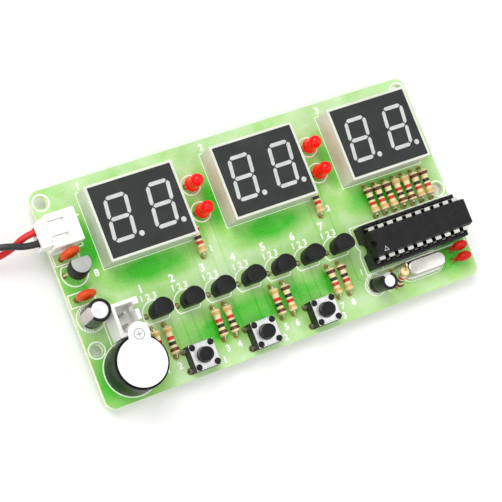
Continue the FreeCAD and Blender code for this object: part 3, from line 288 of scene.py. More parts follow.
# Dark and light tone, range of roughness, scale of the drift, scale of the grain, relief and the rest.
TONES = {
    "solder": ((206, 206, 204), (232, 232, 228), (0.22, 0.34), 900, 3000, 0.05, METAL),
    "display_white": ((208, 211, 196), (223, 226, 213), (0.42, 0.6), 160, 2600, 0.06, PLAIN),
    "display_black": ((41, 43, 43), (51, 53, 53), (0.5, 0.66), 220, 4200, 0.1, DULL),
    "segment_grey": ((184, 188, 185), (204, 207, 204), (0.3, 0.45), 500, 2600, 0.06, PLAIN),
    "carrier_laminate": ((186, 170, 108), (206, 192, 132), (0.4, 0.6), 400, 2500, 0.15, PLAIN),
    "tinned_wire": ((196, 178, 132), (222, 208, 170), (0.24, 0.36), 700, 3000, 0.05, METAL),
    "contact_metal": ((182, 181, 176), (206, 205, 200), (0.24, 0.34), 600, 3000, 0.04, METAL),
    "moulded_black": ((14, 14, 15), (26, 26, 27), (0.42, 0.62), 420, 5200, 0.35, DULL),
    "socket_black": ((10, 10, 11), (20, 20, 21), (0.3, 0.45), 300, 3200, 0.2, DULL),
    "crystal_steel": ((186, 184, 178), (200, 198, 192), (0.26, 0.34), 260, 2600, 0.02, METAL),
    "resistor_cream": ((232, 208, 150), (244, 226, 178), (0.24, 0.4), 700, 2600, 0.08, PLAIN),
    "can_aluminium": ((214, 215, 216), (234, 234, 234), (0.28, 0.4), 500, 3000, 0.04, METAL),
    "sleeve_black": ((14, 15, 16), (26, 27, 29), (0.22, 0.36), 300, 2600, 0.12, DULL),
    "bung_rubber": ((24, 24, 24), (40, 39, 38), (0.7, 0.85), 500, 3000, 0.3, PLAIN),
    "ceramic_orange": ((206, 66, 22), (226, 86, 38), (0.34, 0.5), 600, 2600, 0.2, DULL),
    "cover_steel": ((208, 209, 209), (226, 227, 226), (0.26, 0.36), 300, 3000, 0.03, BRUSHED),
    "button_black": ((9, 9, 10), (19, 19, 20), (0.3, 0.5), 300, 3600, 0.25, DULL),
    "sounder_black": ((10, 9, 8), (18, 16, 14), (0.26, 0.4), 200, 3600, 0.2, DULLEST),
    "seal_paper": ((240, 240, 238), (252, 252, 250), (0.5, 0.7), 260, 3600, 0.25, PLAIN),
    "coil_copper": ((164, 82, 44), (204, 116, 70), (0.25, 0.4), 600, 2600, 0.2, METAL),
    "connector_white": ((244, 244, 240), (252, 252, 249), (0.36, 0.52), 200, 2800, 0.12, PLAIN),
    "wire_red": ((190, 14, 16), (222, 28, 26), (0.3, 0.44), 240, 2600, 0.15, PLAIN),
    "wire_black": ((18, 18, 19), (34, 34, 36), (0.3, 0.46), 240, 2600, 0.15, PLAIN),
    # The markings' faint emission is a painted glow against their shade.
    "marking_white": ((240, 243, 234), (251, 252, 246), (0.5, 0.7), 900, 3600, 0.2, PAINTED_GLOW),
    "marking_grey": ((96, 104, 116), (128, 136, 146), (0.5, 0.7), 900, 3600, 0.2, PLAIN),
    "stripe_pale": ((174, 165, 163), (198, 190, 188), (0.3, 0.42), 400, 2600, 0.12, PLAIN),
    # Painted reflection: the regulator's light grey roof stands for gloss on its black top.
    "regulator_grey": ((152, 154, 150), (178, 180, 175), (0.4, 0.55), 420, 4200, 0.3, PLAIN),
    "disc_red": ((178, 14, 6), (206, 26, 10), (0.3, 0.46), 600, 2600, 0.2, DULL),
    "socket_tin": ((92, 90, 84), (122, 120, 112), (0.3, 0.42), 600, 3000, 0.05, METAL),
    "rivet_black": ((9, 9, 10), (18, 18, 19), (0.24, 0.34), 300, 3600, 0.05, DULL),
    "ring_gold": ((140, 132, 66), (176, 166, 96), (0.28, 0.4), 700, 3000, 0.05, METAL),
    "tie_black": ((22, 22, 23), (38, 38, 40), (0.4, 0.55), 300, 3000, 0.2, PLAIN),
    "band_brown": ((78, 34, 14), (104, 48, 22), (0.24, 0.4), 900, 2600, 0.15, PLAIN),
    "band_black": ((18, 15, 14), (36, 30, 27), (0.24, 0.4), 900, 2600, 0.15, PLAIN),
    "band_red": ((196, 22, 18), (222, 40, 30), (0.24, 0.4), 900, 2600, 0.15, PLAIN),
    "band_gold": ((204, 164, 90), (222, 188, 116), (0.24, 0.4), 900, 2600, 0.15, PLAIN),
}
finishes = {name: finish(name, *tones, **rest) for name, (*tones, rest) in TONES.items()}
finishes["board_laminate"] = board_finish("board_laminate")
finishes["trace_green"] = board_finish("trace_green", 0.13)
finishes["trace_deep"] = board_finish("trace_deep", 0.42)
finishes["lamp_red"] = lamp_finish("lamp_red")


# Drawing.

ROUND_SHARE = 0.45
MITRE_LIMIT = 0.4
LABEL_BOLD = 0.03
PIECE_SOFT_ANGLE, NODE_SOFT_ANGLE = 35.0, 50.0


def at(x, y, z=0.0):
    """A placement without a turn."""
    return Matrix.Translation((x, y, z))


def turned(degrees, axis="Z"):
    return Matrix.Rotation(math.radians(degrees), 4, axis)


def frame_along(centre, way):
    """A placement whose Z axis goes along a direction."""
    return Matrix.Translation(centre) @ Vector(way).to_track_quat("Z", "Y").to_matrix().to_4x4()


def lathe(bm, profile, where=Matrix(), segments=32, paint=0):
    """Turns a profile of radius and height about Z; paint is a material's place, or a face's function."""
    rings = []
    for radius, height in profile:
        count = segments if radius > TINY else 1
        rings.append([
            bm.verts.new(where @ Vector((
                radius * math.cos(2 * math.pi * i / segments),
                radius * math.sin(2 * math.pi * i / segments),
                height,
            ))) for i in range(count)
        ])
    for k, (low, high) in enumerate(zip(rings, rings[1:])):
        for i in range(segments):
            j = (i + 1) % segments
            if len(low) == 1:
                corners = (low[0], high[j], high[i])
            elif len(high) == 1:
                corners = (low[i], low[j], high[0])
            else:
                corners = (low[i], low[j], high[j], high[i])
            face = bm.faces.new(corners)
            face.material_index = paint(k, i) if callable(paint) else paint


def rounded_profile(points, radius, steps=4):
    """A profile with its inner corners rounded; a corner's own radius may come third."""
    result = [tuple(points[0][:2])]
    for before, corner, after in zip(points, points[1:], points[2:]):
        size = corner[2] if len(corner) > 2 else radius
        here = Vector(corner[:2])
        back = Vector(before[:2]) - here
        onward = Vector(after[:2]) - here
        reach = min(size, ROUND_SHARE * back.length, ROUND_SHARE * onward.length)
        start = here + back.normalized() * reach
        end = here + onward.normalized() * reach
        for n in range(steps + 1):
            t = n / steps
            result.append(tuple((1 - t) ** 2 * start + 2 * t * (1 - t) * here + t * t * end))
    result.append(tuple(points[-1][:2]))
    return result


def skin(bm, rings):
    """Joins each ring of vertices to the next one."""
    for low, high in zip(rings, rings[1:]):
        for i in range(len(low)):
            j = (i + 1) % len(low)
            bm.faces.new((low[i], low[j], high[j], high[i]))


def stack(bm, outlines, where=Matrix(), roof_paint=0):
    """A solid over a stack of counter-clockwise outlines, each with its height."""
    rings = [[bm.verts.new(where @ Vector((x, y, z))) for x, y in outline] for outline, z in outlines]
    skin(bm, rings)
    bm.faces.new(rings[0][::-1])
    bm.faces.new(rings[-1]).material_index = roof_paint


def prism(bm, outline, low, high, where=Matrix()):
    """An upright solid over a counter-clockwise outline."""
    stack(bm, [(outline, low), (outline, high)], where)


def rectangle(x, y, length, width):
    """Counter-clockwise corners, from the lower left one."""
    return [
        (x - length / 2, y - width / 2),
        (x + length / 2, y - width / 2),
        (x + length / 2, y + width / 2),
        (x - length / 2, y + width / 2),
    ]


def arc(x, y, radius, start=0.0, end=360.0, steps=36):
    """Points on a circle; a whole circle doesn't repeat its first point."""
    count = steps if end - start >= 360 else steps + 1
    angles = [math.radians(start + (end - start) * i / steps) for i in range(count)]
    return [(x + radius * math.cos(a), y + radius * math.sin(a)) for a in angles]


def long_round(x, y, half, radius):
    """An outline with straight sides and round ends."""
    return arc(x + half, y, radius, -90, 90, 16) + arc(x - half, y, radius, 90, 270, 16)


def band(bm, points, width, low, high, closed=False):
    """A flat line of even width along points."""
    points = [Vector(p) for p in points]
    count = len(points)
    sides = ([], [])
    for i, here in enumerate(points):
        ways = []
        if closed or i > 0:
            ways.append((here - points[i - 1]).normalized())
        if closed or i < count - 1:
            ways.append((points[(i + 1) % count] - here).normalized())
        way = sum(ways, Vector((0, 0))).normalized()
        across = Vector((-way.y, way.x))
        grow = 1 / max(MITRE_LIMIT, across.dot(Vector((-ways[0].y, ways[0].x))))
        for side, sign in zip(sides, (1, -1)):
            side.append(here + across * (sign * width / 2 * grow))
    loops = [
        [bm.verts.new((p.x, p.y, z)) for p in side]
        for side, z in ((sides[0], low), (sides[1], low), (sides[1], high), (sides[0], high))
    ]
    for i in range(count if closed else count - 1):
        j = (i + 1) % count
        for a in range(4):
            b = (a + 1) % 4
            bm.faces.new((loops[a][i], loops[a][j], loops[b][j], loops[b][i]))
    if not closed:
        for i in (0, count - 1):
            bm.faces.new([loop[i] for loop in loops])


def label(bm, text, x, y, size, low, high):
    """Flat numerals or signs."""
    curve = bpy.data.curves.new("label", "FONT")
    curve.body = text
    curve.size = size
    curve.extrude = (high - low) / 2
    curve.resolution_u = 2
    curve.offset = LABEL_BOLD * size
    curve.align_x = "CENTER"
    curve.align_y = "CENTER"
    holder = bpy.data.objects.new("label", curve)
    scene.collection.objects.link(holder)
    bpy.context.view_layer.update()
    flat = bpy.data.meshes.new_from_object(holder)
    flat.transform(at(x, y, (low + high) / 2))
    bm.from_mesh(flat)
    bpy.data.objects.remove(holder)
    bpy.data.curves.remove(curve)
    bpy.data.meshes.remove(flat)


def soften_edges(item, width, angle):
    """Rounds the edges of an object that are sharper than an angle."""
    soft = item.modifiers.new("soft_edges", "BEVEL")
    soft.width = width * MM
    soft.segments = 2
    soft.limit_method = "ANGLE"
    soft.angle_limit = math.radians(angle)


def piece(name, bm, materials, body="board", frame_matrix=BOARD, stands_for=(), angle=40.0, soften=0.0):
    """Turns drawn geometry into a piece that rides on a body."""
    bm.transform(frame_matrix)
    bmesh.ops.recalc_face_normals(bm, faces=bm.faces)
    mesh = bpy.data.meshes.new(name)
    bm.to_mesh(mesh)
    bm.free()
    for material in materials:
        mesh.materials.append(finishes[material])
    mesh.polygons.foreach_set("use_smooth", [True] * len(mesh.polygons))
    mesh.set_sharp_from_angle(angle=math.radians(angle))
    item = bpy.data.objects.new(name, mesh)
    scene.collection.objects.link(item)
    if soften:
        soften_edges(item, soften, PIECE_SOFT_ANGLE)
    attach(item, body)
    if stands_for:
        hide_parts(*stands_for)
    return item


def islands(name):
    """The separate solids of a node as arrays of board points, from left to right."""
    bm = bmesh.new()
    bm.from_mesh(nodes[name].data)
    bmesh.ops.remove_doubles(bm, verts=bm.verts, dist=TINY)
    back = BOARD.inverted()
    seen = set()
    groups = []
    for start in bm.verts:
        if start in seen:
            continue
        seen.add(start)
        waiting, found = [start], []
        while waiting:
            vert = waiting.pop()
            found.append(back @ vert.co)
            for edge in vert.link_edges:
                other = edge.other_vert(vert)
                if other not in seen:
                    seen.add(other)
                    waiting.append(other)
        groups.append(np.array(found))
    bm.free()
    return sorted(groups, key=lambda g: (round(g[:, 0].mean(), 2), round(g[:, 1].mean(), 2)))


def middle(points):
    """The middle of a solid's box."""
    return Vector((points.min(axis=0) + points.max(axis=0)) / 2)


def main_axes(points):
    """A solid's axes, from its longest way to its shortest."""
    return [Vector(way) for way in np.linalg.svd(points - points.mean(axis=0), full_matrices=False)[2]]


# Power lead: two wires on the route of their solids, each wound into a coil at its end.

EXIT_X, EXIT_Z = -49.85, 7.0
WIRE = 1.5
COIL_X, COIL_Y, COIL_RADIUS, COIL_TURNS = -74.0, 5.4, 8.975, 2.3
ROUTES = {
    "red": [
        (EXIT_X, 15.95, EXIT_Z), (-52.6, 15.95, EXIT_Z), (-56.0, 14.2, 4.6),
        (-61.0, 13.6, 2.4), (-67.8, 14.2, 0.75),
    ],
    "black": [
        (EXIT_X, 13.45, EXIT_Z), (-53.0, 13.45, EXIT_Z), (-57.0, 14.95, 7.3),
        (-61.8, 15.8, 5.6), (-68.0, 15.3, 3.2),
    ],
}
TURN_POINTS = 16
TIP_RADIUS, TIP_POINTS, TIP_STEP = WIRE / 3.6, 8, 0.015


def coil_point(turns, height):
    """A place on the coil, so many turns after its start; each turn lies inside the last."""
    angle = math.pi / 2 + 2 * math.pi * turns
    radius = COIL_RADIUS - WIRE * max(turns, 0.0)
    return (COIL_X + radius * math.cos(angle), COIL_Y + radius * math.sin(angle), height)


def spline_piece(name, points, radius, slot):
    """A round wire along points in the part's own frame."""
    curve = bpy.data.curves.new(name, "CURVE")
    curve.dimensions = "3D"
    curve.bevel_depth = radius * MM
    curve.bevel_resolution = 5
    curve.use_fill_caps = True
    curve.resolution_u = 8
    line = curve.splines.new("NURBS")
    line.points.add(len(points) - 1)
    for spot, place in zip(line.points, points):
        spot.co = (*(ROW @ Vector(place)), 1.0)
    line.order_u = 3
    line.use_endpoint_u = True
    curve.materials.append(finishes[slot])
    item = bpy.data.objects.new(name, curve)
    scene.collection.objects.link(item)
    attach(item, "power_lead")
    return item


def make_tie():
    """A flat tie round both coils, with its lock and its tail on top."""
    inner, outer, top, corner, start = 4.95, 9.78, 3.05, 0.7, 7.0
    thick, wide, heading = 0.14, 1.4, 215.0
    lock, tail = (7.6, 0.0, 2.6, 2.2), (6.0, 0.0, 3.2, 1.2)
    section = rounded_profile(
        [(start, 0.0), (outer, 0.0), (outer, top), (inner, top), (inner, 0.0), (start, 0.0)], corner)
    where = at(COIL_X, COIL_Y) @ turned(heading)
    centre = Vector(((inner + outer) / 2, top / 2))
    bm = bmesh.new()
    loops = []
    for grow, side in ((0, -1), (thick, -1), (thick, 1), (0, 1)):
        spots = [Vector(p) + (Vector(p) - centre).normalized() * grow for p in section[:-1]]
        loops.append([bm.verts.new(where @ Vector((spot.x, side * wide / 2, spot.y))) for spot in spots])
    skin(bm, loops + loops[:1])
    for block, low, high in ((lock, 0.1, 1.1), (tail, 0.45, 0.75)):
        prism(bm, rectangle(*block), top + low, top + high, where)
    return piece("lead_tie", bm, ["tie_black"], "power_lead", ROW, soften=0.12)


tie = make_tie()
for layer, (colour, route) in enumerate(ROUTES.items()):
    height = (0.5 + layer) * WIRE
    steps = round(COIL_TURNS * TURN_POINTS)
    wound = [coil_point(COIL_TURNS * n / steps, height) for n in range(steps + 1)]
    lead = spline_piece(f"{colour}_lead", route + wound, WIRE / 2, f"wire_{colour}")
    bare = [coil_point(COIL_TURNS + TIP_STEP * (n - 1), height) for n in range(TIP_POINTS)]
    tip = spline_piece(f"{colour}_lead_tip", bare, TIP_RADIUS, "tinned_wire")
    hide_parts(f"{colour}_wire", f"{colour}_wire_coil")
    ROW @ Vector(route[0])


# Solder joints on the underside and tinned rings round the holes on top.

DRILL_ROOM, PAD_WIDE = 0.15, 0.5
RING_WIDE, RING_HIGH, RING_SLOPE = 0.26, 0.035, 0.02


def solder_profile(pad, pin, tall):
    """A fillet that climbs from its pad to the pin, and the end of the pin."""
    neck, rim, climb, bow, points = pin + 0.07, 0.04, 0.62 * tall, 2.6, 8
    profile = [(0, 0), (pad, 0)]
    for n in range(points):
        t = n / (points - 1)
        profile.append((neck + (pad - neck) * (1 - t) ** bow, rim + t * climb))
    return profile + [(pin, 0.7 * tall), (pin, tall - 0.12), (pin - 0.1, tall), (0, tall - 0.03)]


joints = []
bm = bmesh.new()
for name in ("solder_joints", "standing_solder_joints"):
    for points in islands(name):
        spot = middle(points)
        pad = np.ptp(points[:, 0]) / 2
        pin = pad - PAD_WIDE - DRILL_ROOM
        joints.append((spot.x, spot.y, pin))
        profile = solder_profile(pad, pin, np.ptp(points[:, 2]))
        lathe(bm, profile, at(spot.x, spot.y, UNDER) @ turned(180, "X"), 18)
piece("solder_fillets", bm, ["solder"],
      stands_for=("solder_joints", "standing_solder_joints"), angle=50)

bm = bmesh.new()
for x, y, pin in joints:
    hole = pin + DRILL_ROOM
    ring = hole + RING_WIDE
    profile = [(hole, 0), (ring, 0), (ring - RING_SLOPE, RING_HIGH), (hole, RING_HIGH), (hole, 0)]
    lathe(bm, profile, at(x, y), 24)
piece("tinned_rings", bm, ["ring_gold"])


# Lacquered tracks between the joints, on both faces.

EDGE_ROOM, MOUNT_ROOM = 1.2, 2.9
SHORTEST_LEG, DOT_STEP = 0.3, 0.35
TRACK_HIGH, TRACK_SUNK = 0.03, 0.005


def nearest(dots, others):
    """The least distance between two sets of places."""
    return np.min(np.linalg.norm(dots[:, None] - np.asarray(others)[None], axis=2))


def tracks(shortest, longest, most, clear_pad, clear_track, order):
    """Runs of 45 and 90 degrees between joints that keep clear of the other joints and of each other."""
    places = [Vector((x, y)) for x, y, _ in joints]
    spots = np.array([tuple(p) for p in places])
    used = [0] * len(places)
    taken = np.zeros((0, 2))
    pairs = []
    for i in range(len(places)):
        for j in range(i):
            if shortest < (places[i] - places[j]).length < longest:
                pairs.append((order(places[i], places[j]), i, j))
    found = []
    for _, i, j in sorted(pairs):
        if used[i] >= most or used[j] >= most:
            continue
        step = places[j] - places[i]
        reach = min(abs(step.x), abs(step.y))
        slant = Vector((math.copysign(reach, step.x), math.copysign(reach, step.y)))
        for bend in (places[i] + slant, places[j] - slant):
            line = [places[i], bend, places[j]]
            if min((bend - places[i]).length, (bend - places[j]).length) <= SHORTEST_LEG:
                line.remove(bend)
            dots = np.array([
                tuple(a.lerp(b, t)) for a, b in zip(line, line[1:])
                for t in np.linspace(0, 1, max(2, int((b - a).length / DOT_STEP)))
            ])
            if nearest(dots, np.delete(spots, (i, j), axis=0)) < clear_pad:
                continue
            if len(taken) and nearest(dots, taken) < clear_track:
                continue
            inside = (dots > EDGE_ROOM).all() and (dots < (LENGTH - EDGE_ROOM, WIDTH - EDGE_ROOM)).all()
            if not inside or nearest(dots, MOUNTS) < MOUNT_ROOM:
                continue
            found.append(line)
            taken = np.vstack([taken, dots])
            used[i] += 1
            used[j] += 1
            break
    return found


bm = bmesh.new()
for line in tracks(shortest=3.2, longest=30.0, most=2, clear_pad=1.15, clear_track=0.75,
                   order=lambda a, b: (a - b).length):
    band(bm, line, 0.55, UNDER - TRACK_HIGH, UNDER + TRACK_SUNK)
piece("lower_tracks", bm, ["trace_deep"], angle=30)
bm = bmesh.new()
for line in tracks(shortest=7.0, longest=46.0, most=1, clear_pad=1.1, clear_track=0.9,
                   order=lambda a, b: abs(a.x - b.x) + 0.4 * abs(a.y - b.y)):
    band(bm, line, 0.45, -TRACK_SUNK, TRACK_HIGH)
piece("upper_tracks", bm, ["trace_green"], angle=30)


# White markings on the board: outlines, rings and plain numbers.

INK_LOW, INK_HIGH = 0.0, 0.045
INK_WIDE, FINE_INK, HATCH_INK, MOUNT_INK = 0.26, 0.16, 0.22, 0.3
MOULDING_RING, LAMP_RING, SOUNDER_RING, MOUNT_RING = 3.05, 2.3, 6.25, 1.85
CAN_RINGS = ((SUPPLY_CAN, 3.1), (RESET_CAN, 2.55))
HATCH_STEP, HATCH_LINES = 0.5, 4
RESISTOR_LABELS = {"base_resistors": ((0.3, -5.9), 2.1), "indicator_resistors": ((2.5, -2.6), 2.0)}
CHIP_NOTCH = ((-13.5, 1.4), (-12.9, 0.0), (-13.5, -1.4))

ink = bmesh.new()


def draw(points, closed=True, wide=INK_WIDE):
    band(ink, points, wide, INK_LOW, INK_HIGH, closed)


def write(text, place, offset, size):
    """A label, so far from the place of its piece."""
    label(ink, text, place[0] + offset[0], place[1] + offset[1], size, INK_LOW, INK_HIGH)


for i, x in enumerate(DISPLAYS, start=1):
    draw(rectangle(x, DISPLAY_Y, 21.5, 17.9), wide=FINE_INK)
    write(str(i), (x, DISPLAY_Y), (-9.6, 10.25), 2.2)
for i, x in enumerate(TRANSISTORS, start=1):
    draw(arc(x, TRANSISTOR_Y, MOULDING_RING, -38, 218, 30))
    write(str(i), (x, TRANSISTOR_Y), (-1.4, 6.1), 2.5)
    write("1 2 3", (x, TRANSISTOR_Y), (-0.4, 3.9), 2.0)
draw(arc(*REGULATOR, MOULDING_RING, 142, 398, 30))
write("8", REGULATOR, (4.6, -1.6), 2.3)
for name, (offset, size) in RESISTOR_LABELS.items():
    for i, points in enumerate(islands(name), start=1):
        write(str(i), middle(points), offset, size)
for points in islands("indicator_lamps"):
    spot = middle(points)
    draw(arc(spot.x, spot.y, LAMP_RING, 30, 330, 32))
for i, x in enumerate(SWITCHES, start=1):
    write(str(i), (x, SWITCH_Y), (5.3, -2.5), 2.1)
draw(arc(*SOUNDER, SOUNDER_RING, steps=64))
write("+", SOUNDER, (6.9, 5.4), 2.6)
draw(rectangle(*SPARE_HEADER, 7.3, 8.3))
draw(rectangle(*POWER_HEADER, 7.6, 8.2))
write("+", POWER_HEADER, (4.7, 2.5), 2.4)
for (x, y), ring in CAN_RINGS:
    draw(arc(x, y, ring, steps=40))
    for shift in evenly(HATCH_STEP, HATCH_STEP, HATCH_LINES):
        half = math.sqrt(ring ** 2 - shift ** 2)
        draw([(x - shift, y - half), (x - shift, y + half)], False, HATCH_INK)
write("+", SUPPLY_CAN, (4.4, 1.6), 2.2)
write("+", RESET_CAN, (2.9, -2.3), 2.0)
for x, y in DISCS:
    draw(rectangle(x, y, 5.8, 2.9))
draw(rectangle(*CHIP, 27.0, 11.4) + [(CHIP[0] + dx, CHIP[1] + dy) for dx, dy in CHIP_NOTCH])
write("1", CHIP, (-14.6, -4.6), 1.9)
draw(long_round(*CRYSTAL, CRYSTAL_HALF, 2.7), wide=0.15)
write("1", CRYSTAL, (-9.3, 3.0), 1.7)
write("2", CRYSTAL, (6.3, 3.3), 1.7)
for x, y in MOUNTS:
    draw(arc(x, y, MOUNT_RING, steps=40), wide=MOUNT_INK)
piece("board_markings", ink, ["marking_white"], angle=30)


# Resistors: lacquered bodies with colour bands.

RESISTOR_LONG, RESISTOR_END, RESISTOR_WAIST = 6.3, 1.08, 0.78
ROUND_LONG, END_FLAT = 0.55, 0.28
SHOULDER_START, SHOULDER_LONG = 0.95, 0.7
BAND_COLOURS = ("brown", "black", "red", "gold")
BAND_PLACES = (0.62, 2.0, 3.2, 4.95)
BAND_WIDE = 0.76
BROWN_FIRST = ("brown", "black", "red", "gold")
GOLD_FIRST = ("gold", "red", "black", "brown")
RESISTOR_SETS = {
    "segment_resistors": [GOLD_FIRST] * 3 + [BROWN_FIRST] * 2 + [GOLD_FIRST] * 2,
    "base_resistors": [BROWN_FIRST] * 5 + [GOLD_FIRST] * 3,
    "indicator_resistors": [("gold", "red", "black", "red")] * 2,
    "reset_resistor": [BROWN_FIRST],
}


def resistor_radius(s):
    """Radius at a distance from the near end: rounded caps on a slimmer middle."""
    near = min(s, RESISTOR_LONG - s)
    if near < ROUND_LONG:
        bow = math.sqrt(max(0.0, 1 - (1 - near / ROUND_LONG) ** 2))
        return RESISTOR_END * (END_FLAT + (1 - END_FLAT) * bow)
    fall = min(1.0, max(0.0, (near - SHOULDER_START) / SHOULDER_LONG))
    return RESISTOR_END - (RESISTOR_END - RESISTOR_WAIST) * (3 * fall ** 2 - 2 * fall ** 3)


def draw_resistor(bm, where, colours):
    """A resistor's body, with cuts close together at its ends and at the edges of its bands."""
    ends = evenly(0.06, 0.11, 6)
    cuts = {0.0, RESISTOR_LONG, *ends, *(RESISTOR_LONG - s for s in ends), *evenly(0.9, 0.15, 31)}
    for start in BAND_PLACES:
        cuts.update((start, start + BAND_WIDE))
    stations = sorted(cuts)

    def paint(k, i):
        if 0 < k < len(stations):
            centre = (stations[k - 1] + stations[k]) / 2
            for colour, start in zip(colours, BAND_PLACES):
                if start < centre < start + BAND_WIDE:
                    return 1 + BAND_COLOURS.index(colour)
        return 0

    profile = [(0.0, -RESISTOR_LONG / 2)]
    profile += [(resistor_radius(s), s - RESISTOR_LONG / 2) for s in stations]
    profile.append((0.0, RESISTOR_LONG / 2))
    lathe(bm, profile, where, 24, paint)


def long_way(points):
    """The long axis of a solid, towards +Y or up."""
    way = main_axes(points)[0]
    return way if way.y + way.z > 0 else -way


for name, orders in RESISTOR_SETS.items():
    bm = bmesh.new()
    for points, colours in zip(islands(name), orders):
        draw_resistor(bm, frame_along(middle(points), long_way(points)), colours)
    piece(f"banded_{name}", bm, ["resistor_cream", *(f"band_{colour}" for colour in BAND_COLOURS)],
          stands_for=(name,), angle=60)


# Lamps: a flange, a straight side and a dome.

LAMP_SIDE = 1.48
LAMP_FLANGE = [(0, 0), (1.68, 0), (1.74, 0.08), (1.74, 0.72), (1.66, 0.84), (1.52, 0.96), (LAMP_SIDE, 1.2)]

bm = bmesh.new()
for points in islands("indicator_lamps"):
    spot = middle(points)
    tall = np.ptp(points[:, 2])
    dome = [
        (LAMP_SIDE * math.cos(a), tall - LAMP_SIDE + LAMP_SIDE * math.sin(a))
        for a in np.radians(range(0, 90, 10))
    ]
    lathe(bm, LAMP_FLANGE + dome + [(0, tall)], at(spot.x, spot.y, points[:, 2].min()), 36)
piece("lamp_lenses", bm, ["lamp_red"], stands_for=("indicator_lamps",))


# Ceramic capacitors: dipped discs, with the coating run down their two legs.

DISC_HALF, DISC_BOW = 1.1, 0.8
LEG_SIDE, LEG_DROP = 1.27, 0.75
LEG_RUN = [(0.0, 0.0), (0.34, 0.0), (0.4, 0.45), (0.5, 0.95), (0.62, 1.35), (0.0, 1.7)]
UP = Vector((0, 0, 1))

bm = bmesh.new()
for points in islands("ceramic_capacitors"):
    spot = middle(points)
    normal = main_axes(points)[2]
    if normal.y < 0:
        normal = -normal
    radius = np.ptp(points[:, 2]) / 2
    disc = [
        (radius * math.sin(a) ** DISC_BOW, -DISC_HALF * math.cos(a))
        for a in np.radians(range(0, 181, 12))
    ]
    red = int(spot.x >= LENGTH / 2)
    lathe(bm, disc, frame_along(spot, normal), 40, red)
    for side in (-LEG_SIDE, LEG_SIDE):
        foot = spot + normal.cross(UP) * side - UP * (radius + LEG_DROP)
        lathe(bm, LEG_RUN, at(*foot), 16, red)
piece("ceramic_discs", bm, ["ceramic_orange", "disc_red"],
      stands_for=("ceramic_capacitors",), angle=60)


# Transistors and the regulator.

MOULDING_RADIUS, MOULDING_FLAT = 2.35, 1.3
# Heights of a moulding and its share of the full size there.
MOULDING_LEVELS = [(0.0, 0.93), (0.12, 0.985), (2.3, 1.0), (4.45, 0.985), (4.58, 0.95), (4.6, 0.93)]


def draw_moulding(bm, x, y, height, lean, heading, roof_paint=0):
    """A round moulded body with one flat, slightly tapered from its parting line."""
    start = -math.degrees(math.asin(MOULDING_FLAT / MOULDING_RADIUS))
    outlines = []
    for z, size in MOULDING_LEVELS:
        outline = arc(0, 0, MOULDING_RADIUS * size, start, 180 - start, 40)
        outlines.append(([(px, max(py, -MOULDING_FLAT * size)) for px, py in outline], z))
    stack(bm, outlines, at(x, y, height) @ turned(heading) @ turned(-lean, "X"), roof_paint)


bm = bmesh.new()
for x in TRANSISTORS:
    draw_moulding(bm, x, TRANSISTOR_Y, height=1.8, lean=3.0, heading=0)
piece("transistor_mouldings", bm, ["moulded_black"], stands_for=("driver_transistors",))
bm = bmesh.new()
# The regulator's light grey roof is a painted reflection.
draw_moulding(bm, *REGULATOR, height=2.8, lean=-8.0, heading=180, roof_paint=1)
piece("regulator_moulding", bm, ["moulded_black", "regulator_grey"],
      stands_for=("voltage_regulator",))


# Electrolytic capacitors: a sleeve with a pale stripe, and a can whose roof is scored in four.

# Place, radius, height, lean, heading of the lean and start of the pale stripe.
CANS = [(RESET_CAN, 2.0, 7.0, 5.1, 275.0, 66.0), (SUPPLY_CAN, 2.5, 10.2, 4.0, 180.0, 150.0)]
CAN_LIFT, CAN_FLOOR, ROOF_SUNK = 0.6, 1.4, 0.18
CAN_TURNS, STRIPE_TURNS = 48, 8
SCORE_HALF, SCORE_TURN = 0.1, 0.4


def can_place(x, y, lean, heading):
    """A can's placement, leaning over towards a heading."""
    heading = math.radians(heading)
    hinge = Vector((-math.sin(heading), math.cos(heading), 0))
    return at(x, y, CAN_LIFT) @ turned(lean, hinge)


sleeves, cans = bmesh.new(), bmesh.new()
for (x, y), radius, tall, lean, heading, stripe in CANS:
    where = can_place(x, y, lean, heading)
    sleeve = rounded_profile([
        (radius - 0.3, 0.0), (radius, 0.0), (radius, 1.1), (radius - 0.24, 1.45), (radius, 1.85),
        (radius, tall, 0.45), (radius - 0.65, tall, 0.1), (radius - 0.7, tall - 0.14),
        (radius - 0.2, tall - 0.25), (radius - 0.2, 0.2), (radius - 0.3, 0.0),
    ], 0.14)
    first = round(stripe / 360 * CAN_TURNS)
    lathe(sleeves, sleeve, where, CAN_TURNS, lambda k, i, f=first: int((i - f) % CAN_TURNS < STRIPE_TURNS))
    roof = tall - ROOF_SUNK
    lathe(cans, [
        (0, CAN_FLOOR), (radius - 0.3, CAN_FLOOR), (radius - 0.3, roof - 0.12), (radius - 0.4, roof - 0.02),
        (radius - 0.6, roof), (0, roof),
    ], where, 40)
    rim = arc(SCORE_HALF, SCORE_HALF, radius - 0.95, 4, 85, 9)
    for k in range(4):
        quarter = where @ Matrix.Rotation(k * math.pi / 2 + SCORE_TURN, 4, "Z")
        prism(cans, [(0.14, 0.14)] + rim, roof - 0.02, roof + 0.05, quarter)
piece("can_sleeves", sleeves, ["sleeve_black", "stripe_pale"],
      stands_for=("capacitor_sleeves",))
piece("can_bodies", cans, ["can_aluminium"], stands_for=("capacitor_cans",))


# Chip: two mould marks and the triangle at pin one.

CHIP_TOP = 7.9
MOULD_MARK = [(0, 0.008), (0.8, 0.008), (0.86, 0.025), (0.92, 0.0)]

bm = bmesh.new()
for side in (-9.0, 9.0):
    lathe(bm, MOULD_MARK, at(CHIP[0] + side, CHIP[1] + 0.5, CHIP_TOP), 32)
piece("chip_mould_marks", bm, ["socket_black"])
bm = bmesh.new()
band(bm, arc(CHIP[0] - 10.4, CHIP[1] - 2.0, 0.62, 90, 450, 3), 0.16, CHIP_TOP, CHIP_TOP + 0.015, True)
piece("pin_one_mark", bm, ["stripe_pale"], angle=30)


# Crystal: a pressed cover with rounded edges and ends.

CRYSTAL_END = 1.85
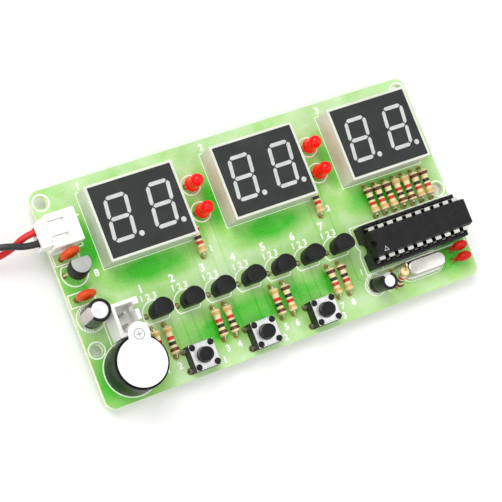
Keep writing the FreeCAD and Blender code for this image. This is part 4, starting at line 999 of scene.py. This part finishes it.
# How far the cover draws in, and at which height.
CRYSTAL_COVER = [(0.0, 0.5), (0.0, 2.95), (0.05, 3.17), (0.16, 3.34), (0.32, 3.45), (0.5, 3.5)]

bm = bmesh.new()
stack(bm, [(long_round(*CRYSTAL, CRYSTAL_HALF, CRYSTAL_END - inset), z) for inset, z in CRYSTAL_COVER])
piece("crystal_cover", bm, ["crystal_steel"], stands_for=("crystal_can",), angle=30)


# Switches: rivet heads on the covers, and the buttons' caps.

RIVET_SIDE, RIVET_LOW = 2.25, 3.62
RIVET_HEAD = [(0.46, 0), (0.68, 0.04), (0.72, 0.14), (0.66, 0.29), (0.5, 0.4), (0.26, 0.46), (0, 0.48)]
BUTTON_BASE = 1.0
BUTTON = rounded_profile([
    (0, 0.9), (0.9, 0.9), (0.9, 1.74), (2.25, 1.74), (2.25, 2.34), (1.7, 2.34), (1.7, 3.2),
    (1.58, 4.5, 0.3), (0.9, 4.5), (0, 4.47),
], 0.06)

bm = bmesh.new()
for x in SWITCHES:
    for corner_x, corner_y in rectangle(x, SWITCH_Y, 2 * RIVET_SIDE, 2 * RIVET_SIDE):
        lathe(bm, RIVET_HEAD, at(corner_x, corner_y, RIVET_LOW), 24)
piece("switch_rivet_heads", bm, ["rivet_black"])
for i, x in enumerate(SWITCHES, start=1):
    bm = bmesh.new()
    lathe(bm, BUTTON, at(x, SWITCH_Y, BUTTON_BASE), 44)
    piece(f"switch_{i}_cap", bm, ["button_black"], f"switch_{i}_plunger",
          stands_for=(f"switch_{i}_button",))


# Sounder: its shell, and the ringed plus sign on the tab of its seal.

SHELL = rounded_profile([
    (5.2, 0.0), (6.0, 0.0), (6.0, 9.0, 0.55), (1.0, 9.0), (1.0, 8.2), (4.6, 8.2), (4.6, 6.6), (5.2, 6.6),
    (5.2, 0.0),
], 0.12, 5)
SEAL_TOP = 9.12
TAB_TURN, TAB_REACH = math.radians(76.0), 5.9
MARK_RING, MARK_ARM, MARK_WIDE, MARK_HIGH, MARK_LIFT = 1.15, 0.75, 0.16, 0.012, 0.002

bm = bmesh.new()
lathe(bm, SHELL, at(*SOUNDER), 72)
piece("sounder_shell", bm, ["sounder_black"], stands_for=("sounder_case",))
bm = bmesh.new()
mark = Vector(SOUNDER) + TAB_REACH * Vector((math.cos(TAB_TURN), math.sin(TAB_TURN)))
band(bm, arc(*mark, MARK_RING, steps=40), MARK_WIDE, SEAL_TOP, SEAL_TOP + MARK_HIGH, True)
for low, arm in ((SEAL_TOP, (MARK_ARM, 0)), (SEAL_TOP + MARK_LIFT, (0, MARK_ARM))):
    band(bm, [mark - Vector(arm), mark + Vector(arm)], MARK_WIDE, low, low + MARK_HIGH)
piece("seal_mark", bm, ["marking_grey"], angle=30)


# Plug: latch ribs in the slots of its header.

RIB_SIDE, RIB_WIDE, RIB_LOW, PLUG_TOP = 1.7, 0.86, 5.4, 5.52
# Start, end and height of the ribs along the plug.
RIBS = [(0.1, 3.0, 0.46), (-2.3, 0.0, 0.36)]

bm = bmesh.new()
for side in (-RIB_SIDE, RIB_SIDE):
    for start, end, tall in RIBS:
        outline = rectangle((start + end) / 2, POWER_HEADER[1] + side, end - start, RIB_WIDE)
        prism(bm, outline, RIB_LOW, PLUG_TOP + tall)
piece("plug_ribs", bm, ["connector_white"], "power_lead", soften=0.1)


# Finishes of the nodes that stay, and softer edges on the moulded and pressed ones.

SOFT_EDGES = {
    "connector_white": 0.14, "socket_black": 0.12, "display_white": 0.12, "moulded_black": 0.15,
    "button_black": 0.1, "cover_steel": 0.05, "crystal_steel": 0.18,
}
OTHER_FINISHES = {
    "microcontroller_legs": "contact_metal", "header_pins": "contact_metal", "socket_contacts": "socket_tin",
}
slot_of = {part["node"]: part["material_slot"] for part in frame["record"]["subparts"]}
for name, item in nodes.items():
    slot = slot_of[name]
    item.data.materials.clear()
    item.data.materials.append(finishes[OTHER_FINISHES.get(name, slot)])
    if slot in SOFT_EDGES:
        weld = item.modifiers.new("weld", "WELD")
        weld.merge_threshold = TINY
        soften_edges(item, SOFT_EDGES[slot], NODE_SOFT_ANGLE)


# Floor.

FLOOR_REACH, FLOOR_LOW = 3.0, -0.0002
FLOOR_TONES = [[0.94, 0.94, 0.94, 1.0], [0.9494, 0.9494, 0.9494, 1.0]]


def floor_finish(name):
    """Pale and dull, with a faint drift."""
    graph = Graph(name)
    graph.shade("Base Color", graph.ramp(graph.noise(3.0, 2.0), FLOOR_TONES))
    graph.shade("Roughness", graph.spread(graph.noise(40.0), 0.7, 0.8))
    graph.set(Specular_IOR_Level=0.1)
    return graph.material


floor = bpy.data.objects.new("floor", bpy.data.meshes.new("floor"))
corners = rectangle(0, 0, 2 * FLOOR_REACH, 2 * FLOOR_REACH)
floor.data.from_pydata([(x, y, FLOOR_LOW) for x, y in corners], [], [(0, 1, 2, 3)])
floor.data.materials.append(floor_finish("floor_pale"))
scene.collection.objects.link(floor)


# Surroundings: the camera sees plain white; gloss sees white above and a darker room round the sides.

ROOM_LIGHT = 0.62
ROOM_RANGE = {"From Min": 0.0, "From Max": 0.6, "To Min": 0.3, "To Max": 1.0}

world = bpy.data.worlds.new("studio")
scene.world = world
world.use_nodes = True
tree = world.node_tree
backdrop = tree.nodes["Background"]
backdrop.inputs["Color"].default_value = (1.0, 1.0, 1.0, 1.0)
backdrop.inputs["Strength"].default_value = ROOM_LIGHT
seen = tree.nodes.new("ShaderNodeBackground")
seen.inputs["Strength"].default_value = 1.0
place = tree.nodes.new("ShaderNodeTexCoord")
split = tree.nodes.new("ShaderNodeSeparateXYZ")
tree.links.new(place.outputs["Generated"], split.inputs[0])
room = tree.nodes.new("ShaderNodeMapRange")
for key, value in ROOM_RANGE.items():
    room.inputs[key].default_value = value
tree.links.new(split.outputs["Z"], room.inputs["Value"])
path = tree.nodes.new("ShaderNodeLightPath")


def brighter(first, second):
    """The larger of two values."""
    either = tree.nodes.new("ShaderNodeMath")
    either.operation = "MAXIMUM"
    tree.links.new(first, either.inputs[0])
    tree.links.new(second, either.inputs[1])
    return either.outputs[0]


tree.links.new(brighter(room.outputs["Result"], path.outputs["Is Camera Ray"]), seen.inputs["Color"])
direct = brighter(path.outputs["Is Camera Ray"], path.outputs["Is Glossy Ray"])
direct = brighter(direct, path.outputs["Is Transmission Ray"])
choose = tree.nodes.new("ShaderNodeMixShader")
tree.links.new(direct, choose.inputs[0])
tree.links.new(backdrop.outputs[0], choose.inputs[1])
tree.links.new(seen.outputs[0], choose.inputs[2])
tree.links.new(choose.outputs[0], tree.nodes["World Output"].inputs["Surface"])


# Lights: place in metres, size and power.

LIGHTS = {
    "key": ((-0.25, 0.45, 0.75), 0.6, 4.6),
    "fill": ((0.55, -0.35, 0.6), 0.7, 2.2),
    "side": ((-0.7, -0.2, 0.3), 0.5, 1.3),
}
for name, (spot, size, power) in LIGHTS.items():
    lamp = bpy.data.lights.new(name, "AREA")
    lamp.size = size
    lamp.energy = power
    holder = bpy.data.objects.new(name, lamp)
    holder.location = spot
    holder.rotation_mode = "QUATERNION"
    holder.rotation_quaternion = (-Vector(spot)).to_track_quat("-Z", "Y")
    scene.collection.objects.link(holder)
